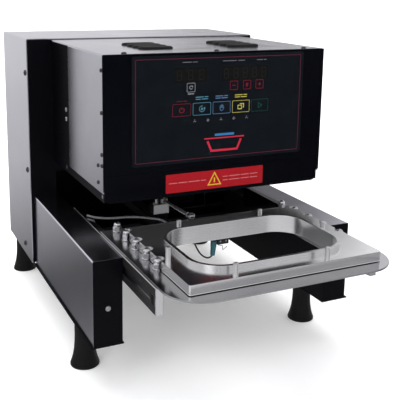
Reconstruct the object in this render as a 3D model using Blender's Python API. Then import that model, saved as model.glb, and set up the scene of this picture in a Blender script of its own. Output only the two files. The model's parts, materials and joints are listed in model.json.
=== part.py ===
"""Table-top tray sealing machine with a motor-driven tray drawer, shown with the drawer out.

Metres, +Z up.  The front of the machine faces -Y.  The origin is on the floor, under the middle of
the machine's box.  Lengths below are written in millimetres times MM.
"""

import math

import bmesh
import bpy
from mathutils import Matrix, Vector

MM = 0.001
GAP = 0.3 * MM
SHEET = 1.5 * MM

# Rear housing
HOUSING_HALF_WIDTH = 200 * MM
HOUSING_FRONT = 150 * MM
HOUSING_REAR = 327 * MM
HOUSING_BOTTOM = 70 * MM
HOUSING_TOP = 437 * MM
REAR_PANEL_Y = 317.5 * MM

# Side arms that carry the drawer
ARM_OUTER = 194.5 * MM
ARM_INNER = 155.2 * MM
ARM_FRONT = -159 * MM
ARM_TOP = 184.8 * MM
ARM_BOTTOM = 67 * MM

# Feet
FOOT_BASE_RADIUS = 20.4 * MM
FOOT_TOP_RADIUS = 13.8 * MM
FOOT_X = 179.6 * MM
FRONT_FOOT_Y = -71 * MM
REAR_FOOT_Y = 306.3 * MM

# Head over the drawer; it stands a little to the right of the middle
HEAD_LEFT = -161.6 * MM
HEAD_RIGHT = 174.4 * MM
HEAD_CENTRE = (HEAD_LEFT + HEAD_RIGHT) / 2
HEAD_FRONT = -106.4 * MM
HEAD_TOP = 435 * MM
HEAD_SIDE_REAR = 52 * MM
HEAD_SIDE_BOTTOM = 253 * MM
HEAD_BOTTOM = 238.6 * MM
PANEL_SEAM = 276 * MM

# Drawer, at its outer end of travel
DRAWER_TRAVEL = 200 * MM
BAR_INNER = 144.7 * MM
BAR_OUTER = 154.4 * MM
BAR_FRONT = -266.3 * MM
BAR_REAR = 64 * MM
BAR_BOTTOM = 152.5 * MM
BAR_TOP = 186.2 * MM
PLATE_HALF_WIDTH = 153 * MM
PLATE_FRONT = -327 * MM
PLATE_REAR = -66 * MM
PLATE_BOTTOM = 186.5 * MM
PLATE_TOP = 188.9 * MM
PLATE_CORNER = 49 * MM

# Tray die and its opening
DIE_HALF_WIDTH = 131 * MM
DIE_FRONT = -305.6 * MM
DIE_REAR = -107.6 * MM
DIE_BOTTOM = PLATE_TOP + GAP
DIE_TOP = 202.1 * MM
LIP_TOP = 207.8 * MM
COLLAR_BOTTOM = 183.5 * MM
OPENING_X = -0.8 * MM
OPENING_Y = -213.2 * MM
OPENING_HALF = (101 * MM, 67.6 * MM)
OPENING_CORNER = 38 * MM
LIP_WIDTH = 5 * MM
COLLAR_WIDTH = 2.4 * MM
PIN_RADIUS = 3.2 * MM
TALL_PIN_TOP = 217.5 * MM
SHORT_PIN_TOP = 212.5 * MM
PINS = [
    (-62.9 * MM, -127 * MM, SHORT_PIN_TOP), (62.9 * MM, -127 * MM, SHORT_PIN_TOP),
    (-71.7 * MM, -301.2 * MM, TALL_PIN_TOP), (53.5 * MM, -301.2 * MM, TALL_PIN_TOP),
    (-122.1 * MM, -226.7 * MM, TALL_PIN_TOP), (112.7 * MM, -208.3 * MM, SHORT_PIN_TOP),
]

# Cap nuts that hold the plate to the nut rails
NUT_X = 132.5 * MM
NUT_FIRST_Y = -76 * MM
NUT_PITCH = -36 * MM
NUT_COUNT = 5
NUT_CORNER_RADIUS = 5.77 * MM

# Belt drive of the drawer
BELT_Z = 131.4 * MM
BELT_FRAME_TOP = BELT_Z - 12.4 * MM
BELT_FRAME_BOTTOM = BELT_FRAME_TOP - 3 * MM
IDLER_Y = 66.5 * MM
DRIVE_PULLEY_Y = 300 * MM
PULLEY_RADIUS = 9 * MM
BELT_HALF_WIDTH = 7.5 * MM
BELT_THICKNESS = 1.4 * MM
BLOCK_HALF_WIDTH = 13.7 * MM
BLOCK_FRONT = 80 * MM
BLOCK_REAR = 100 * MM
BLOCK_BOTTOM = 150.3 * MM
BLOCK_TOP = 166.5 * MM
ROD_BOLT = (8 * MM, 90 * MM)
ROD_BALL = (-19.4 * MM, -74 * MM, PLATE_TOP + 6.4 * MM)

# Heated press in the head, raised; it comes down on the die when the drawer is in
PRESS_X = OPENING_X
PRESS_Y = OPENING_Y + DRAWER_TRAVEL
PRESS_TRAVEL = 43.5 * MM
PLATEN_BOTTOM = 252 * MM
PLATEN_TOP = 276 * MM
CARRIER_BOTTOM = 280.3 * MM
CARRIER_TOP = 286 * MM
KNIFE_BOTTOM = 250 * MM
BRIDGE_BOTTOM = 345 * MM
BRIDGE_TOP = 351 * MM
COLUMN_OFFSET = 85 * MM
COLUMN_RADIUS = 6 * MM
SCREW_RADIUS = 6 * MM

# Film path
SPINDLE_Y = 235 * MM
SUPPLY_Z = 270 * MM
REWIND_Z = 385 * MM
BRACKET_X = 152 * MM
FRONT_ROLLER_Y = -95.5 * MM
REAR_ROLLER_Y = 75 * MM
ROLLER_Z = 247 * MM

# Keypad on the control panel
FOIL_LEFT = -122.6 * MM
FOIL_RIGHT = 139.2 * MM
FOIL_BOTTOM = 285.2 * MM
FOIL_TOP = 431.6 * MM
MAIN_KEY_Z = 358.2 * MM
MAIN_KEY_HALF = (14 * MM, 8.9 * MM)
SMALL_KEY_Z = 388 * MM
SMALL_KEY_HALF = (6.6 * MM, 6.6 * MM)
KEYS = {
    "key_power": (-51.6 * MM, MAIN_KEY_Z, MAIN_KEY_HALF),
    "key_automatic": (-21.6 * MM, MAIN_KEY_Z, MAIN_KEY_HALF),
    "key_manual": (8.4 * MM, MAIN_KEY_Z, MAIN_KEY_HALF),
    "key_double": (38.4 * MM, MAIN_KEY_Z, MAIN_KEY_HALF),
    "key_start": (68.4 * MM, MAIN_KEY_Z, MAIN_KEY_HALF),
    "key_reset": (-38.3 * MM, SMALL_KEY_Z, SMALL_KEY_HALF),
    "key_minus": (26.8 * MM, SMALL_KEY_Z, SMALL_KEY_HALF),
    "key_menu": (47.3 * MM, SMALL_KEY_Z, SMALL_KEY_HALF),
    "key_plus": (67.3 * MM, SMALL_KEY_Z, SMALL_KEY_HALF),
}

# Mains inlet with its rocker switch, on the rear panel
INLET_X = 140 * MM
ROCKER_Z = 134 * MM
ROCKER_PIVOT_Y = 316 * MM
ROCKER_TILT = math.radians(9)

# Tray switch under the drawer plate
SWITCH_Y = -112 * MM
LEVER_PIVOT = (5 * MM, SWITCH_Y, 161.9 * MM)


def finish(name, colour, roughness, metallic):
    """A Principled BSDF material with one colour."""
    material = bpy.data.materials.new(name)
    material.use_nodes = True
    shader = material.node_tree.nodes["Principled BSDF"]
    shader.inputs["Base Color"].default_value = (*colour, 1.0)
    shader.inputs["Roughness"].default_value = roughness
    shader.inputs["Metallic"].default_value = metallic
    material.diffuse_color = (*colour, 1.0)
    return material


def add_object(name, mesh, material):
    """Put a mesh into the scene under its node's name."""
    mesh.materials.clear()
    mesh.materials.append(material)
    made = bpy.data.objects.new(name, mesh)
    bpy.context.scene.collection.objects.link(made)
    return made


def mesh_from(form, name):
    """Turn a bmesh into a mesh with its faces pointing out."""
    bmesh.ops.recalc_face_normals(form, faces=form.faces)
    mesh = bpy.data.meshes.new(name)
    form.to_mesh(mesh)
    form.free()
    return mesh


def smooth(made, angle=35):
    """Shade round faces smooth and keep edges sharper than the angle."""
    made.data.shade_smooth()
    made.data.set_sharp_from_angle(angle=math.radians(angle))
    return made


def box(name, x, y, z, material, bevel=0.0):
    """A block between pairs of coordinates, with optional bevelled edges."""
    form = bmesh.new()
    bmesh.ops.create_cube(form, size=1.0)
    size = (x[1] - x[0], y[1] - y[0], z[1] - z[0])
    middle = ((x[0] + x[1]) / 2, (y[0] + y[1]) / 2, (z[0] + z[1]) / 2)
    bmesh.ops.scale(form, vec=size, verts=form.verts)
    bmesh.ops.translate(form, vec=middle, verts=form.verts)
    if bevel:
        bmesh.ops.bevel(form, geom=form.edges, offset=bevel, segments=1, affect="EDGES")
    return add_object(name, mesh_from(form, name), material)


def on_axis(axis, first, second, along):
    """A point from two outline coordinates and one along the prism's axis."""
    if axis == "X":
        return (along, first, second)
    if axis == "Y":
        return (first, along, second)
    return (first, second, along)


def prism(name, outline, axis, span, material):
    """A closed outline extruded along an axis, from span[0] to span[1]."""
    form = bmesh.new()
    corners = [form.verts.new(on_axis(axis, a, b, span[0])) for a, b in outline]
    face = form.faces.new(corners)
    grown = bmesh.ops.extrude_face_region(form, geom=[face])["geom"]
    moved = [item for item in grown if isinstance(item, bmesh.types.BMVert)]
    shift = on_axis(axis, 0, 0, span[1] - span[0])
    bmesh.ops.translate(form, vec=shift, verts=moved)
    return add_object(name, mesh_from(form, name), material)


def ring_prism(name, outer, inner, axis, span, material):
    """A band between two outlines with the same number of points."""
    form = bmesh.new()
    loops = []
    for outline, along in ((outer, span[0]), (outer, span[1]), (inner, span[1]), (inner, span[0])):
        loops.append([form.verts.new(on_axis(axis, a, b, along)) for a, b in outline])
    count = len(outer)
    for k, loop in enumerate(loops):
        after = loops[(k + 1) % 4]
        for i in range(count):
            j = (i + 1) % count
            form.faces.new((loop[i], loop[j], after[j], after[i]))
    return add_object(name, mesh_from(form, name), material)


def turned(name, profile, axis, centre, material, sides=32):
    """A profile of (radius, place along the axis) turned about an axis through centre.

    A profile that starts and ends at radius 0 is solid; any other is closed into a ring.
    """
    form = bmesh.new()
    rings = []
    for radius, along in profile:
        if radius == 0:
            rings.append([form.verts.new(on_axis(axis, 0, 0, along))])
            continue
        ring = []
        for k in range(sides):
            angle = 2 * math.pi * k / sides
            place = on_axis(axis, radius * math.cos(angle), radius * math.sin(angle), along)
            ring.append(form.verts.new(place))
        rings.append(ring)
    pairs = list(zip(rings, rings[1:]))
    if profile[0][0] > 0:
        pairs.append((rings[-1], rings[0]))
    for one, other in pairs:
        for k in range(sides):
            after = (k + 1) % sides
            corners = [one[k % len(one)], one[after % len(one)]]
            corners += [other[after % len(other)], other[k % len(other)]]
            distinct = []
            for corner in corners:
                if corner not in distinct:
                    distinct.append(corner)
            form.faces.new(distinct)
    bmesh.ops.translate(form, vec=centre, verts=form.verts)
    return smooth(add_object(name, mesh_from(form, name), material))


def rod(name, start, end, radius, material, sides=16):
    """A plain round bar between two points."""
    start, end = Vector(start), Vector(end)
    form = bmesh.new()
    turn = (end - start).to_track_quat("Z", "Y").to_matrix().to_4x4()
    bmesh.ops.create_cone(
        form, cap_ends=True, segments=sides, radius1=radius, radius2=radius,
        depth=(end - start).length, matrix=Matrix.Translation((start + end) / 2) @ turn,
    )
    return smooth(add_object(name, mesh_from(form, name), material))


def combine(kept, others, operation):
    """Join the others to the kept object, or cut them out of it, and remove them."""
    for other in others:
        step = kept.modifiers.new(operation.title(), "BOOLEAN")
        step.operation = operation
        step.solver = "EXACT"
        step.object = other
    bpy.context.view_layer.update()
    graph = bpy.context.evaluated_depsgraph_get()
    mesh = bpy.data.meshes.new_from_object(kept.evaluated_get(graph))
    kept.modifiers.clear()
    kept.data = mesh
    for other in others:
        bpy.data.objects.remove(other)
    return smooth(kept)


def union(kept, *others):
    return combine(kept, others, "UNION")


def cut(kept, *others):
    return combine(kept, others, "DIFFERENCE")


def rounded(centre, half, radius, steps=8):
    """A rectangle with round corners, as a list of outline points."""
    points = []
    corners = ((1, 1, 0), (-1, 1, 90), (-1, -1, 180), (1, -1, 270))
    for sign_a, sign_b, start in corners:
        a = centre[0] + sign_a * (half[0] - radius)
        b = centre[1] + sign_b * (half[1] - radius)
        for k in range(steps + 1):
            angle = math.radians(start + 90 * k / steps)
            points.append((a + radius * math.cos(angle), b + radius * math.sin(angle)))
    return points


def arc(centre, radius, start, end, steps):
    """Points of an arc, angles in degrees."""
    points = []
    for k in range(steps + 1):
        angle = math.radians(start + (end - start) * k / steps)
        points.append((centre[0] + radius * math.cos(angle), centre[1] + radius * math.sin(angle)))
    return points


def cable(name, places, radius, material):
    """A round cable on a smooth curve through the places."""
    knots = [Vector(place) for place in places]
    knots = [2 * knots[0] - knots[1]] + knots + [2 * knots[-1] - knots[-2]]
    points = []
    for a, b, c, d in zip(knots, knots[1:], knots[2:], knots[3:]):
        steps = max(2, round((c - b).length / (5 * radius)))
        for k in range(steps):
            t = k / steps
            bend = (2 * a - 5 * b + 4 * c - d) * t * t + (3 * b - a - 3 * c + d) * t ** 3
            points.append(b + 0.5 * ((c - a) * t + bend))
    points.append(knots[-2])
    curve = bpy.data.curves.new(name, "CURVE")
    curve.dimensions = "3D"
    curve.bevel_depth = radius
    curve.bevel_resolution = 2
    curve.use_fill_caps = True
    line = curve.splines.new("POLY")
    line.points.add(len(points) - 1)
    for point, place in zip(line.points, points):
        point.co = (*place, 1.0)
    curve.materials.append(material)
    made = bpy.data.objects.new(name, curve)
    bpy.context.scene.collection.objects.link(made)
    return made


def axis_empty(name, place):
    """An empty on a joint's axis, which carries the moving pieces."""
    made = bpy.data.objects.new(name, None)
    made.location = place
    made.empty_display_size = 20 * MM
    bpy.context.scene.collection.objects.link(made)
    return made


def carry(parent, *children):
    """Hang pieces on a joint's empty without moving them."""
    bpy.context.view_layer.update()
    for child in children:
        child.parent = parent
        child.matrix_parent_inverse = parent.matrix_world.inverted()


def housing(paint, black):
    """Cover, base, front and rear panels of the rear housing."""
    outer, top, bend = HOUSING_HALF_WIDTH, HOUSING_TOP, 2.5 * MM
    inner, under = outer - SHEET, top - SHEET
    outline = [(-outer, HOUSING_BOTTOM)]
    outline += arc((-outer + bend, top - bend), bend, 180, 90, 4)
    outline += arc((outer - bend, top - bend), bend, 90, 0, 4)
    outline += [(outer, HOUSING_BOTTOM), (inner, HOUSING_BOTTOM), (inner, under)]
    outline += [(-inner, under), (-inner, HOUSING_BOTTOM)]
    smooth(prism("housing_cover", outline, "Y", (HOUSING_FRONT, HOUSING_REAR), paint))

    inside = inner - GAP
    base_bottom = HOUSING_BOTTOM + GAP
    base_top = base_bottom + 2 * MM
    base_y = (HOUSING_FRONT + 1 * MM, HOUSING_REAR - 2 * MM)
    box("base_plate", (-inside, inside), base_y, (base_bottom, base_top), black)

    walls_z = (base_top + GAP, under - GAP)
    front_y = (HOUSING_FRONT + 0.6 * MM, HOUSING_FRONT + 2.6 * MM)
    front = box("housing_front_panel", (-inside, inside), front_y, walls_z, black)
    deep = (HOUSING_FRONT - 10 * MM, HOUSING_FRONT + 10 * MM)
    drawer_door = box("door", (-157 * MM, 157 * MM), deep, (114 * MM, 222 * MM), black)
    head_x = (HEAD_CENTRE - 120 * MM, HEAD_CENTRE + 120 * MM)
    head_door = box("head_door", head_x, deep, (250 * MM, 425 * MM), black)
    cut(front, drawer_door, head_door)

    rear_y = (REAR_PANEL_Y, REAR_PANEL_Y + SHEET)
    rear = box("rear_panel", (-inside, inside), rear_y, walls_z, black)
    through = (REAR_PANEL_Y - 5 * MM, REAR_PANEL_Y + 5 * MM)
    holes = []
    for row in range(7):
        z = (300 + 14 * row) * MM
        for side in (-1, 1):
            slot = rounded((side * 75 * MM, z), (48 * MM, 2.5 * MM), 2.4 * MM, 2)
            holes.append(prism("louvre", slot, "Y", through, black))
    inlet_x = (INLET_X - 22.5 * MM, INLET_X + 22.5 * MM)
    holes.append(box("inlet_hole", inlet_x, through, (91.5 * MM, 148.5 * MM), black))
    cut(rear, *holes)


def arm(side, name, paint, black):
    """Channel and cover of one arm; side is -1 on the left and 1 on the right."""
    span = (ARM_FRONT, HOUSING_FRONT - GAP)
    wall = 2 * MM
    lip = ARM_OUTER + 2.5 * MM
    top = ARM_TOP - SHEET - GAP
    profile = [(lip, ARM_BOTTOM), (ARM_INNER, ARM_BOTTOM), (ARM_INNER, top)]
    profile += [(ARM_INNER + wall, top), (ARM_INNER + wall, ARM_BOTTOM + wall), (lip, ARM_BOTTOM + wall)]
    outline = [(side * x, z) for x, z in profile]
    channel = prism(name + "_arm_channel", outline, "Y", span, black)
    front_x = sorted((side * (ARM_INNER + wall / 2), side * (ARM_OUTER - SHEET - GAP)))
    front_z = (ARM_BOTTOM + wall / 2, top)
    front = box("arm_front", front_x, (ARM_FRONT, ARM_FRONT + wall), front_z, black)
    union(channel, front)

    bend = 2 * MM
    skin = [(ARM_OUTER, ARM_BOTTOM + wall + GAP)]
    skin += arc((ARM_OUTER - bend, ARM_TOP - bend), bend, 0, 90, 4)
    skin += [(ARM_INNER, ARM_TOP), (ARM_INNER, ARM_TOP - SHEET)]
    skin += [(ARM_OUTER - SHEET, ARM_TOP - SHEET), (ARM_OUTER - SHEET, ARM_BOTTOM + wall + GAP)]
    smooth(prism(name + "_arm_cover", [(side * x, z) for x, z in skin], "Y", span, paint))

    rail_x = sorted((side * (ARM_INNER - GAP), side * 150.9 * MM))
    rail_y = (-40 * MM, HOUSING_FRONT - 2 * MM)
    box(name + "_slide_rail", rail_x, rail_y, (163.3 * MM, 174.7 * MM), black, 0.8 * MM)


def foot(name, x, y, height, rubber):
    """A trumpet-shaped rubber foot with a screw recess in its base."""
    profile = [(0, height), (FOOT_TOP_RADIUS - 1 * MM, height), (FOOT_TOP_RADIUS, height - 1 * MM)]
    rise = 3 * MM
    for step in range(1, 7):
        t = 1 - step / 6
        flare = (1 - t) ** 4 * (FOOT_BASE_RADIUS - FOOT_TOP_RADIUS)
        profile.append((FOOT_TOP_RADIUS + flare, rise + t * (height - 1 * MM - rise)))
    profile += [(FOOT_BASE_RADIUS, 1.2 * MM), (FOOT_BASE_RADIUS - 1.2 * MM, 0)]
    profile += [(6 * MM, 0), (6 * MM, 12 * MM), (0, 12 * MM)]
    turned(name, profile, "Z", (x, y, 0), rubber, 20)


def head(paint, black):
    """Welded frame with the press bridge, cover and front panels of the head."""
    frame_z = (HEAD_BOTTOM + 1.4 * MM, HEAD_TOP - SHEET - GAP)
    frame_y = (HEAD_FRONT + 3 * MM, HOUSING_FRONT - GAP)
    plates, holes, bosses = [], [], []
    for x in (HEAD_LEFT + 1.8 * MM, HEAD_RIGHT - 4.8 * MM):
        plates.append(box("head_frame", (x, x + 3 * MM), frame_y, frame_z, black))
        for y in (FRONT_ROLLER_Y, REAR_ROLLER_Y):
            ends = ((x - 5 * MM, y, ROLLER_Z), (x + 8 * MM, y, ROLLER_Z))
            holes.append(rod("journal", *ends, 3.2 * MM, black))
    bridge_x = (HEAD_LEFT + 3 * MM, HEAD_RIGHT - 3 * MM)
    bridge = box("bridge", bridge_x, (-60 * MM, 34 * MM), (BRIDGE_BOTTOM, BRIDGE_TOP), black)
    for side in (-1, 1):
        x = PRESS_X + side * COLUMN_OFFSET
        bosses.append(rod("boss", (x, PRESS_Y, 330 * MM), (x, PRESS_Y, 348 * MM), 12 * MM, black, 24))
        ends = ((x, PRESS_Y, 320 * MM), (x, PRESS_Y, 360 * MM))
        holes.append(rod("bore", *ends, COLUMN_RADIUS + 0.2 * MM, black, 20))
    ends = ((PRESS_X, PRESS_Y, 320 * MM), (PRESS_X, PRESS_Y, 360 * MM))
    holes.append(rod("bore", *ends, SCREW_RADIUS + 0.6 * MM, black, 20))
    frame = plates[0]
    union(frame, plates[1], bridge, *bosses)
    cut(frame, *holes)

    bend = 2.5 * MM
    outline = [(HEAD_LEFT, HEAD_SIDE_BOTTOM)]
    outline += arc((HEAD_LEFT + bend, HEAD_TOP - bend), bend, 180, 90, 4)
    outline += arc((HEAD_RIGHT - bend, HEAD_TOP - bend), bend, 90, 0, 4)
    outline += [(HEAD_RIGHT, HEAD_SIDE_BOTTOM), (HEAD_RIGHT - SHEET, HEAD_SIDE_BOTTOM)]
    outline += [(HEAD_RIGHT - SHEET, HEAD_TOP - SHEET), (HEAD_LEFT + SHEET, HEAD_TOP - SHEET)]
    outline += [(HEAD_LEFT + SHEET, HEAD_SIDE_BOTTOM)]
    cover_y = (HEAD_FRONT + 1.8 * MM, HOUSING_FRONT - GAP)
    cover = prism("head_cover", outline, "Y", cover_y, paint)
    past = 10 * MM
    neck_x = (HEAD_LEFT - past, HEAD_RIGHT + past)
    neck_z = (HEAD_SIDE_BOTTOM - past, HEAD_TOP - SHEET)
    tools = [box("neck", neck_x, (HEAD_SIDE_REAR, HOUSING_FRONT + past), neck_z, black)]
    for group_x in (-62.5 * MM, 2 * HEAD_CENTRE + 62.5 * MM):
        for row in range(4):
            slot = rounded((group_x, (24 - 21.7 * row) * MM), (25 * MM, 8.6 * MM), 8.2 * MM, 4)
            tools.append(prism("vent", slot, "Z", (HEAD_TOP - past, HEAD_TOP + past), black))
    cut(cover, *tools)

    ear = 1.8 * MM
    seam = PANEL_SEAM + 0.2 * MM
    panel = [
        (HEAD_LEFT, HEAD_SIDE_BOTTOM + 2.6 * MM), (HEAD_LEFT + ear, HEAD_SIDE_BOTTOM + 2.6 * MM),
        (HEAD_LEFT + ear, seam), (HEAD_RIGHT - ear, seam),
        (HEAD_RIGHT - ear, HEAD_SIDE_BOTTOM + 2.6 * MM), (HEAD_RIGHT, HEAD_SIDE_BOTTOM + 2.6 * MM),
        (HEAD_RIGHT, HEAD_TOP - 0.4 * MM), (HEAD_LEFT, HEAD_TOP - 0.4 * MM),
    ]
    prism("control_panel", panel, "Y", (HEAD_FRONT, HEAD_FRONT + SHEET), black)

    left, right, corner = HEAD_LEFT + 2.1 * MM, HEAD_RIGHT - 2.9 * MM, 9 * MM
    lower = [(right, PANEL_SEAM - 0.1 * MM), (left, PANEL_SEAM - 0.1 * MM)]
    lower += arc((left + corner, HEAD_BOTTOM + corner), corner, 180, 270, 6)
    lower += arc((right - corner, HEAD_BOTTOM + corner), corner, 270, 360, 6)
    smooth(prism("lower_front_panel", lower, "Y", (HEAD_FRONT + 1.2 * MM, HEAD_FRONT + 2.7 * MM), black))


def keypad(foil_finish, board_finish):
    """Printed foil, its sprung keys and the circuit board behind the panel."""
    middle = ((FOIL_LEFT + FOIL_RIGHT) / 2, (FOIL_BOTTOM + FOIL_TOP) / 2)
    half = ((FOIL_RIGHT - FOIL_LEFT) / 2, (FOIL_TOP - FOIL_BOTTOM) / 2)
    foil_y = (HEAD_FRONT - 0.9 * MM, HEAD_FRONT - GAP)
    outline = rounded(middle, half, 4 * MM, 4)
    foil = prism("keypad_foil", outline, "Y", foil_y, foil_finish)
    windows = []
    for name, (x, z, key_half) in KEYS.items():
        centre = (x, z)
        hole = (key_half[0] + GAP, key_half[1] + GAP)
        deep = (HEAD_FRONT - 3 * MM, HEAD_FRONT + 3 * MM)
        windows.append(prism("window", rounded(centre, hole, 2.2 * MM, 2), "Y", deep, foil_finish))
        pad = rounded(centre, key_half, 2 * MM, 2)
        key_y = (HEAD_FRONT - 1.2 * MM, HEAD_FRONT - 0.4 * MM)
        key = prism(name, pad, "Y", key_y, foil_finish)
        carry(axis_empty(name + "_axis", (centre[0], key_y[0], centre[1])), key)
    cut(foil, *windows)

    board_x = (-110 * MM, 127 * MM)
    board = box("control_board", board_x, (-100 * MM, -98.4 * MM), (292 * MM, 420 * MM), board_finish)
    counter = box("counter", (-64 * MM, -14 * MM), (-104 * MM, -99 * MM), (396 * MM, 416 * MM), board_finish)
    values = box("values", (7 * MM, 81 * MM), (-104 * MM, -99 * MM), (396 * MM, 416 * MM), board_finish)
    union(board, counter, values)


def die(steel_bright, aluminium, slide):
    """Drawer plate and the die that holds the tray, with its locating pins."""
    half_x = PLATE_HALF_WIDTH
    corner = PLATE_CORNER
    plate = [(half_x, PLATE_REAR), (-half_x, PLATE_REAR)]
    plate += arc((-half_x + corner, PLATE_FRONT + corner), corner, 180, 270, 12)
    plate += arc((half_x - corner, PLATE_FRONT + corner), corner, 270, 360, 12)
    drawer_plate = prism("drawer_plate", plate, "Z", (PLATE_BOTTOM, PLATE_TOP), steel_bright)

    centre = (OPENING_X, OPENING_Y)

    def opening(grow):
        half = (OPENING_HALF[0] + grow, OPENING_HALF[1] + grow)
        return rounded(centre, half, OPENING_CORNER + grow, 8)

    far = 20 * MM
    through = (PLATE_BOTTOM - far, PLATE_TOP + far)
    tools = [prism("hole", opening(COLLAR_WIDTH + 0.5 * MM), "Z", through, aluminium)]
    for side in (-1, 1):
        for index in range(NUT_COUNT):
            x, y = side * NUT_X, NUT_FIRST_Y + NUT_PITCH * index
            ends = ((x, y, PLATE_BOTTOM - far), (x, y, PLATE_TOP + far))
            tools.append(rod("stud_hole", *ends, 3.4 * MM, aluminium, 10))
    cut(drawer_plate, *tools)

    span_x = (-DIE_HALF_WIDTH, DIE_HALF_WIDTH)
    block = box("tray_die", span_x, (DIE_FRONT, DIE_REAR), (DIE_BOTTOM, DIE_TOP), aluminium, 0.8 * MM)
    middle = (DIE_BOTTOM + DIE_TOP) / 2
    lip = prism("lip", opening(LIP_WIDTH), "Z", (middle, LIP_TOP), aluminium)
    collar = prism("collar", opening(COLLAR_WIDTH), "Z", (COLLAR_BOTTOM, middle - 1 * MM), aluminium)
    pins = []
    for x, y, top in PINS:
        ease = 1 * MM
        profile = [(0, top), (PIN_RADIUS - ease, top), (PIN_RADIUS, top - ease)]
        profile += [(PIN_RADIUS, middle), (0, middle)]
        pins.append(turned("pin", profile, "Z", (x, y, 0), aluminium, 14))
    union(block, lip, collar, *pins)
    cutters = [prism("mouth", opening(0), "Z", (COLLAR_BOTTOM - far, LIP_TOP + far), aluminium)]
    for side in (-1, 1):
        for index in range(1, NUT_COUNT):
            x, y = side * NUT_X, NUT_FIRST_Y + NUT_PITCH * index
            ends = ((x, y, DIE_BOTTOM - far), (x, y, DIE_TOP + far))
            cutters.append(rod("relief", *ends, 8.6 * MM, aluminium, 20))
    cut(block, *cutters)
    carry(slide, drawer_plate, block)


def nut_rail(side, name, chrome, slide):
    """A rail under the plate with its five studs and cap nuts."""
    rail_x = sorted((side * 126 * MM, side * (BAR_INNER - GAP)))
    last = NUT_FIRST_Y + NUT_PITCH * (NUT_COUNT - 1)
    rail_y = (last - 8 * MM, NUT_FIRST_Y + 8 * MM)
    rail = box(name + "_nut_rail", rail_x, rail_y, (176 * MM, BAR_TOP), chrome, 0.5 * MM)
    nuts = []
    for index in range(NUT_COUNT):
        x, y = side * NUT_X, NUT_FIRST_Y + NUT_PITCH * index
        foot_z = PLATE_TOP + GAP
        profile = [(0, 202 * MM)]
        for angle in (30, 60, 85):
            turn = math.radians(angle)
            profile.append((4.9 * MM * math.sin(turn), 197.1 * MM + 4.9 * MM * math.cos(turn)))
        profile += [(4.9 * MM, foot_z + 1.3 * MM), (6.2 * MM, foot_z + 1.3 * MM), (6.2 * MM, foot_z)]
        profile += [(3 * MM, foot_z), (3 * MM, 180 * MM), (0, 180 * MM)]
        nuts.append(turned("nut", profile, "Z", (x, y, 0), chrome, 12))
        six = [(x + a, y + b) for a, b in arc((0, 0), NUT_CORNER_RADIUS, 30, 330, 5)]
        nuts.append(prism("hexagon", six, "Z", (foot_z + 0.8 * MM, 195.4 * MM), chrome))
    union(rail, *nuts)
    carry(slide, rail)


def bar(side, name, steel, slide):
    """A drawer bar with the groove that runs on its slide rail."""
    x = sorted((side * BAR_INNER, side * BAR_OUTER))
    made = box(name + "_drawer_bar", x, (BAR_FRONT, BAR_REAR), (BAR_BOTTOM, BAR_TOP), steel, 0.5 * MM)
    groove_x = sorted((side * 150.4 * MM, side * (BAR_OUTER + 5 * MM)))
    groove_y = (BAR_FRONT + 16 * MM, BAR_REAR + 5 * MM)
    cut(made, box("groove", groove_x, groove_y, (162.8 * MM, 175.2 * MM), steel))
    carry(slide, made)


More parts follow.
